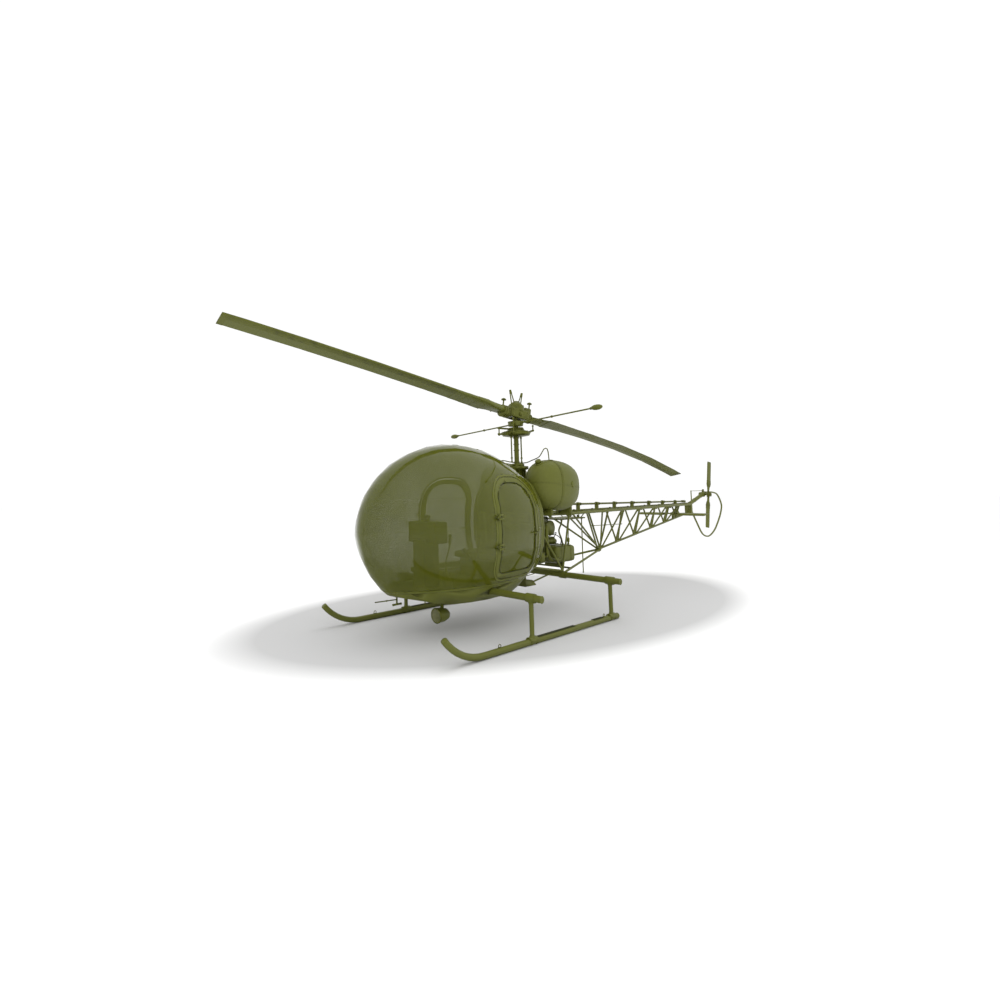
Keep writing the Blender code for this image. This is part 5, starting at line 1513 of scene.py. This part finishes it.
def tail_rotor_fittings():
    """Root plates with their bolts, the pitch links and the spider on the tail rotor."""
    parts, heads = [], []
    turn = TAIL_AXIS.to_3x3()
    up, out = turn @ Vector((0, 0, 1)), turn @ Vector((0, 1, 0))
    for name, way in (("tail_blade_upper", 1), ("tail_blade_lower", -1)):
        for near, far, thick in ((0.165, 0.32, 0.0022), (0.18, 0.26, 0.0042), (0.722, 0.745, 0.0018)):
            planes = ((by_tail(0, 0, way * far), up * way), (by_tail(0, 0, way * near), -up * way))
            parts.append(band(name, planes, thick))
        for span, along, face in product((0.195, 0.235), (-0.018, 0.018), (1, -1)):
            heads += rests(name, by_tail(along, face * 0.3, way * span), -out * face, 0.0042)
        parts.append(collar(0.0265, 0.031, 0.015, 18, TAIL_AXIS @ facing((0, 0, way * 0.05), (0, 0, way))))
        horn = by_tail(0.044, 0.02, way * 0.085)
        parts += [tube([by_tail(0.01, 0.004, way * 0.092), horn], 0.0065),
                  tube([horn, by_tail(0.04, 0.05, way * 0.012)], 0.005),
                  disc(0.01, -0.008, 0.008, 12, facing(horn, out))]
    parts.append(round_at(TAIL_AXIS @ facing((0, 0, 0), (0, 1, 0)), 22, (0.02, 0.04), (0.048, 0.044),
                          (0.048, 0.054), (0.016, 0.058), (0.016, 0.066), (0.008, 0.07)))
    ring = [TAIL_AXIS @ facing((x, 0.0535, z), (0, 1, 0)) for x, z in around(6, 0.034)]
    fitted("tail_rotor_fittings", parts + [bolts(ring, 0.0042), bolts(heads, 0.005)], METAL, "tail_rotor")


ELEVATOR_X = -5.06
ELEVATOR_Z = 1.242


def elevator_fittings():
    """Root and tip bands with rivets and the horn on the elevator."""
    bands, heads = [], []
    for side_name, side in SIDES:
        name = f"elevator_{side_name}"
        for near, far, thick in ((0.151, 0.178, 0.0016), (0.628, 0.6545, 0.0016), (0.388, 0.402, 0.0012)):
            planes = ((0, side * far, 0), (0, side, 0)), ((0, side * near, 0), (0, -side, 0))
            bands.append(band(name, planes, thick))
        for y, i, way in product((0.165, 0.395, 0.641), range(6), (1, -1)):
            start = at(ELEVATOR_X - 0.08 + 0.04 * i, side * y, ELEVATOR_Z + way * 0.4)
            heads += rests(name, start, (0, 0, -way), 0.0014)
        place = on(ELEVATOR_X, side * 0.118, ELEVATOR_Z, (0, side, 0))
        bands.append(collar(0.0145, 0.019, 0.016, 16, place, 0.002))
    fitted("elevator_bands", bands, PAINT, "elevator")
    fitted("elevator_rivets", [rivets(heads, 0.0032)], FASTENER, "elevator")
    root, tip = at(ELEVATOR_X, 0.075, ELEVATOR_Z), at(-5.05, 0.075, 1.32)
    horn = [tube([root, tip], 0.007), disc(0.02, -0.007, 0.007, 16, facing(root, (0, 1, 0))),
            disc(0.011, -0.009, 0.009, 12, facing(tip, (0, 1, 0)))]
    fitted("elevator_horn", horn, METAL, "elevator")


tail_rotor_fittings()
elevator_fittings()


# Main rotor

ROTOR_TURN = Matrix.Rotation(math.radians(ROTOR_AZIMUTH), 4, "Z")
HEAD = (Matrix.Translation((MAST_X, 0, HUB_Z)) @ ROTOR_TURN
        @ Matrix.Rotation(math.radians(-ROTOR_TILT), 4, "Y"))
HEAD_UP = HEAD.to_3x3() @ Vector((0, 0, 1))
MAST_AXIS = Matrix.Translation((MAST_X, 0, DECK_Z)) @ ROTOR_TURN
# Name, way along the head, feather in degrees and droop at the tip
BLADES = (("forward", 1, 18.0, 0.067), ("aft", -1, 9.0, 0.27))
TIP_SPAN = 4.54
# Span, chord, thickness of a blade's sections
BLADE_SECTIONS = (
    (0.3, 0.17, 0.1), (0.52, 0.2, 0.085), (0.64, 0.25, 0.06), (0.9, 0.245, 0.04), (1.7, 0.235, 0.034),
    (2.6, 0.23, 0.032), (3.5, 0.225, 0.03), (4.3, 0.225, 0.028), (TIP_SPAN, 0.22, 0.024),
)
# Share of chord ahead of the span line, share of thickness up
BLADE_PROFILE = ((0.45, 0.0), (0.41, 0.42), (0.27, 0.5), (0.05, 0.44), (-0.25, 0.22), (-0.55, 0.02),
                 (-0.55, -0.02), (-0.25, -0.16), (0.05, -0.36), (0.27, -0.44), (0.41, -0.38))
# Spans and thickness of the plates laid one on another at a blade's root
ROOT_PLATES = (((0.645, 0.9, 1.25), 0.0018), ((0.645, 0.9, 1.05), 0.0034), ((0.645, 0.85), 0.005))


def blade_spot(blade, span, ahead, up):
    """A point of a blade's section at a span, in the row frame."""
    direction, feather, droop = blade[1], math.radians(blade[2]), blade[3]
    for near, far in zip(BLADE_SECTIONS, BLADE_SECTIONS[1:]):
        if span <= far[0]:
            break
    share = (span - near[0]) / (far[0] - near[0])
    chord, thick = (a + (b - a) * share for a, b in zip(near[1:], far[1:]))
    lifts = [0.022 * reach - droop * (reach / TIP_SPAN) ** 3 for reach in (near[0], far[0])]
    lift = lifts[0] + (lifts[1] - lifts[0]) * share
    across, above = direction * ahead * chord, up * thick
    return HEAD @ Vector((direction * span, across * math.cos(feather) - above * math.sin(feather),
                          lift + across * math.sin(feather) + above * math.cos(feather)))


def blade_sheet(blade, spans, profile, thick, closed=True):
    """A skin laid over a blade between spans: the given part of its section, given thickness outwards."""
    rings = [[blade_spot(blade, span, ahead, up) for ahead, up in profile] for span in spans]
    count = len(profile)
    faces = []
    for i in range(len(rings) - 1):
        for j in range(count if closed else count - 1):
            k = (j + 1) % count
            faces.append((i * count + j, i * count + k, (i + 1) * count + k, (i + 1) * count + j))
    mesh = bpy.data.meshes.new("sheet")
    mesh.from_pydata([spot for ring in rings for spot in ring], [], faces)
    middle = blade_spot(blade, (spans[0] + spans[1]) / 2, 0.1, 0.0)
    if (mesh.polygons[0].center - middle).dot(mesh.polygons[0].normal) < 0:
        mesh.flip_normals()
    return shaped(linked("sheet", mesh), "SOLIDIFY", thickness=thick, offset=1.0, use_even_offset=True)


def trim_tab(blade):
    mesh = bpy.data.meshes.new("tab")
    spots = ((3.15, -0.34), (3.52, -0.34), (3.52, -0.555), (3.15, -0.555))
    mesh.from_pydata([blade_spot(blade, span, ahead, 0.0) for span, ahead in spots], [], [(0, 1, 2, 3)])
    return shaped(linked("tab", mesh), "SOLIDIFY", thickness=0.0016, offset=0.0)


def blade_fittings(blade):
    """Leading edge strip, stepped root plates, tip cap, trim tab and retention bolts."""
    name = blade[0]

    def above(span, ahead, way, height, lift=0.0):
        return rests(f"main_blade_{name}", blade_spot(blade, span, ahead, way * height), -HEAD_UP * way, lift)

    leading = BLADE_PROFILE[8:] + BLADE_PROFILE[:4]
    strip = blade_sheet(blade, (0.9, 1.7, 2.6, 3.5, 4.3, 4.535), leading, 0.0014, False)
    tip = blade_sheet(blade, (4.47, 4.5395), BLADE_PROFILE, 0.0018)
    fitted(f"leading_edge_{name}", [strip, tip], METAL, "rotor_head")
    plates = [blade_sheet(blade, spans, BLADE_PROFILE, thick) for spans, thick in ROOT_PLATES]
    plates.append(trim_tab(blade))
    small, large = [], []
    spans = (0.68, 0.74, 0.8, 0.96, 1.02, 1.14, 1.2)
    for span, ahead, way in product(spans, (-0.35, -0.15, 0.05, 0.25), (1, -1)):
        lift = [thick for plate, thick in ROOT_PLATES if span < plate[-1]][-1]
        small += above(span, ahead, way, 6.0, lift)
    for (span, ahead), way in product(((0.42, 0.1), (0.42, -0.2), (0.54, 0.16), (0.54, -0.12)), (1, -1)):
        large += above(span, ahead, way, 4.0)
    for ahead in (0.3, 0.1, -0.1, -0.3):
        small += above(4.5, ahead, 1, 6.0, 0.0018)
    fitted(f"root_plates_{name}", plates, PAINT, "rotor_head")
    fitted(f"blade_bolts_{name}", [rivets(small, 0.0042), bolts(large, 0.0125)], FASTENER, "rotor_head")


def ring_of_bolts(name, axis, count, radius, height, direction, size):
    """Bolts on a circle, each standing where it meets the solid."""
    ring = []
    for x, y in around(count, radius, math.pi / count):
        ring += [moved(bolt(size), place) for place in rests(name, axis @ Vector((x, y, height)), direction)]
    return ring


def hub_fittings():
    """Grip rings, teeter pin nuts and cover bolts on the head."""
    parts = []
    for side, radius in ((1, 0.088), (-1, 0.072)):
        outwards = (0, side, 0)
        for along, wide in ((0.2, 0.005), (0.236, 0.0035), (0.282, 0.005)):
            place = HEAD @ facing((side * along, 0, 0.005), (side, 0, 0))
            parts.append(collar(radius - 0.003, radius + wide, 0.016, 30, place))
        parts.append(round_at(HEAD @ facing((0, side * 0.11, 0), outwards), 20, (0.03, -0.004),
                              (0.032, 0.004), (0.03, 0.012), (0.012, 0.014)))
        spots = [(0.02, (0, side * 0.122, 0), outwards)]
        for x in (-0.15, 0.15):
            spots += [(0.011, (x, side * 0.08, 0.085), (0, 0, 1)), (0.009, (x, side * 0.11, 0.05), outwards),
                      (0.009, (x, side * 0.11, -0.03), outwards)]
        parts += [moved(bolt(size), HEAD @ facing(spot, way)) for size, spot, way in spots]
    parts += ring_of_bolts("rotor_hub", HEAD, 10, 0.107, 0.4, -HEAD_UP, 0.0065)
    fitted("hub_fittings", parts, FASTENER, "rotor_head")


def mast_fittings():
    """Lock rings, the bowl's bolts, rod ends and the bar's end weights."""
    rings = ((0.06, 0.046), (0.24, 0.043), (0.33, 0.043), (0.425, 0.048), (0.608, 0.048), (0.715, 0.05))
    parts = [collar(0.034, wide, 0.018, 24, MAST_AXIS @ Matrix.Translation((0, 0, height)))
             for height, wide in rings]
    parts += ring_of_bolts("mixing_levers", MAST_AXIS, 12, 0.195, 0.75, (0, 0, -1), 0.006)
    rise = math.tan(math.radians(2.7))
    for side in (1, -1):
        parts += [disc(0.0165, -0.011, 0.011, 6, MAST_AXIS @ Matrix.Translation((side * 0.105, 0, height)))
                  for height in (0.07, 0.13, 0.44)]
        for reach in (1.33, 1.432, 0.11, 0.68):
            place = MAST_AXIS @ facing((0, side * reach, 0.65 + side * reach * rise), (0, side, rise))
            parts.append(collar(0.01, 0.0185, 0.019, 16, place))
    for spot in ((0.368, 0, 0.48), (0.368, 0, 0.566), (-0.388, 0, 0.568), (-0.38, 0, 0.638),
                 (0.194, 0.135, 0.51), (0.194, 0.135, 0.712), (0.356, 0, 0.468)):
        parts.append(round_at(MAST_AXIS @ facing(spot, (0, 1, 0)), 14, (0.006, -0.014), (0.014, -0.008),
                              (0.0165, 0), (0.014, 0.008), (0.006, 0.014)))
    fitted("mast_fittings", parts, FASTENER, "main_rotor")


for blade in BLADES:
    blade_fittings(blade)
hub_fittings()
mast_fittings()


# Skids and fittings below

SKID_Y = 1.15
SKID_R = 0.038
CROSS_Z = 0.534
CROSS_R = 0.042
CROSS_X = (1.27, -0.488)


def skid_fittings(side_name, side):
    """Clamps with bolts, end caps, tread pads and tow eyes on a skid and its cross tubes."""
    y = side * SKID_Y
    clamps, heads = [], []
    for x in CROSS_X:
        for along in (x - 0.05, x + 0.05):
            place = on(along, y, SKID_R, (1, 0, 0))
            editing(collar(SKID_R - 0.002, SKID_R + 0.0045, 0.022, 24, place, 0.002, -0.011))
            bpy.ops.mesh.bisect(plane_co=(0, 0, 0.0022), plane_no=(0, 0, 1), clear_inner=True, use_fill=True)
            clamps.append(settled())
            heads += [on(along, y + way * 0.041, 0.052, (0, way, 0)) for way in (1, -1)]
        clamps.append(round_at(centred(x, y, 0.08), 20, (0.034, -0.004), (0.036, 0), (0.031, 0.02),
                               (0.029, 0.022)))
        clamps.append(round_at(centred(x, y, 0.488), 20, (0.029, -0.022), (0.031, -0.02), (0.036, 0),
                               (0.034, 0.004)))
        for reach in (1.09, 1.21):
            place = on(x, side * reach, CROSS_Z, (0, 1, 0))
            clamps.append(collar(CROSS_R - 0.002, CROSS_R + 0.004, 0.02, 24, place, 0.002, -0.01))
        clamps.append(round_at(on(x, side * 1.306, CROSS_Z, (0, side, 0)), 24, (CROSS_R - 0.001, -0.006),
                               (CROSS_R + 0.002, 0), (CROSS_R - 0.006, 0.006)))
        heads.append(on(x, side * 1.312, CROSS_Z, (0, side, 0)))
    clamps.append(round_at(on(-0.635, y, SKID_R + 0.0006, (-1, 0, 0)), 24, (SKID_R - 0.003, -0.003),
                           (SKID_R - 0.0005, 0.002), (SKID_R - 0.008, 0.007)))
    fitted(f"skid_clamps_{side_name}", clamps, PAINT)
    fitted(f"skid_bolts_{side_name}", [bolts(heads, 0.0065)], FASTENER)
    ridge = block((-0.003, y - 0.021, 0.0728), (0.003, y + 0.021, 0.0788), 0.001, 1)
    ridges = [0.42 + 0.02 * i for i in range(38)] + [-0.25 + 0.02 * i for i in range(12)]
    scattered(ridge, [centred(x, 0, 0) for x in ridges])
    pads = [block(at(low, y - 0.023, 0.0705), at(high, y + 0.023, 0.0768), 0.002)
            for low, high in ((0.41, 1.17), (-0.26, -0.02))]
    fitted(f"skid_treads_{side_name}", [ridge] + pads, RUBBER)
    eyes = []
    for x in (1.85, -0.3):
        eyes += [line([(x + dx, y, 0.09 + dz) for dx, dz in around(16, 0.02)], 0.0045, closed=True),
                 block(at(x - 0.024, y - 0.01, 0.07), at(x + 0.024, y + 0.01, 0.0785), 0.002)]
    fitted(f"tow_eyes_{side_name}", eyes, METAL)


LAMP_Y = 0.08
LAMP_Z = 0.235


def lamp_fittings():
    """Bezel, ribbed glass, yoke and bolts of the landing lamp."""
    place = on(1.805, LAMP_Y, LAMP_Z, (1, 0, 0))
    bezel = round_at(place, 40, (0.0945, -0.016), (0.0975, -0.012), (0.0975, 0), (0.09, 0.006),
                     (0.084, 0.006), (0.082, 0.001))
    yoke = moved(block((-0.02, -0.006, -0.01), (0.02, 0.006, 0.01), 0.002), centred(1.7, LAMP_Y, 0.338))
    rear = round_at(on(1.59, LAMP_Y, LAMP_Z, (1, 0, 0)), 20, (0.02, -0.012), (0.028, -0.006), (0.034, 0.004))
    screws = [place @ facing((x, y, 0.004), (0, 0, 1)) for x, y in around(8, 0.0912, 0.4)]
    fitted("lamp_bezel", [bezel, yoke, rear, rivets(screws, 0.0032)], METAL)
    dome = round_at(place, 40, (0.0815, 0.0012), (0.08, 0.004), (0.056, 0.0085), (0.03, 0.0105),
                    (0.01, 0.0112))
    rib = block((-0.0012, -0.07, 0), (0.0012, 0.07, 0.0088), 0.0005, 1)
    scattered(rib, [Matrix.Translation((0.0125 * i, 0, 0))
                    @ Matrix.Diagonal((1, math.sqrt(max(0.05, 1 - (i / 6) ** 2)), 1, 1))
                    for i in range(-5, 6)])
    fitted("lamp_glass", [dome, moved(rib, place)], LENS)


def belly_fittings():
    """The probe's tip and collars, the antenna's feet, and the belly's drain and plug."""
    down = Vector((0, 0, -1))
    probe_root, drain_root, plug_root = (
        onto("cabin_floor", at(x, y, 0), -down)[0] for x, y in ((2.375, 0), (1.918, 0), (1.593, LAMP_Y)))
    neck = ((0.0125, -0.006), (0.016, 0), (0.0125, 0.006))
    fitted("probe_and_antenna_ends", [
        collar(0.0075, 0.01, 0.024, 14, on(2.52, 0, 0.509, (1, 0, 0.02)), 0.004),
        round_at(on(2.312, 0, 0.447, (1, 0, 0)), 14, *neck),
        round_at(on(2.433, 0, 0.447, (1, 0, 0)), 14, *neck),
        round_at(facing(probe_root - down * 0.002, down), 18, (0.024, 0), (0.024, 0.005), (0.014, 0.008)),
        round_at(on(-1.465, 0.13, 1.3145, down), 16, (0.02, -0.004), (0.02, 0.006), (0.01, 0.012),
                 (0.01, 0.02)),
        round_at(on(-1.455, 0.13, 0.434), 14, (0.0095, -0.004), (0.0125, 0.002), (0.0095, 0.01)),
    ], METAL)
    drain_foot = at(1.918, 0, 0.372)
    fitted("belly_drain", [
        tube([drain_root - down * 0.006, drain_foot], 0.007),
        round_at(facing(drain_root, down), 18, (0.02, -0.002), (0.02, 0.004), (0.011, 0.01)),
        collar(0.007, 0.0095, 0.014, 14, facing(drain_foot, -down), 0.002),
    ], METAL)
    plug = round_at(facing(plug_root, down), 20, (0.022, -0.002), (0.022, 0.004), (0.012, 0.009),
                    (0.012, 0.02), (0.019, 0.026), (0.019, 0.036), (0.012, 0.042))
    fitted("belly_plug", [plug], METAL)


for side_name, side in SIDES:
    skid_fittings(side_name, side)
lamp_fittings()
belly_fittings()
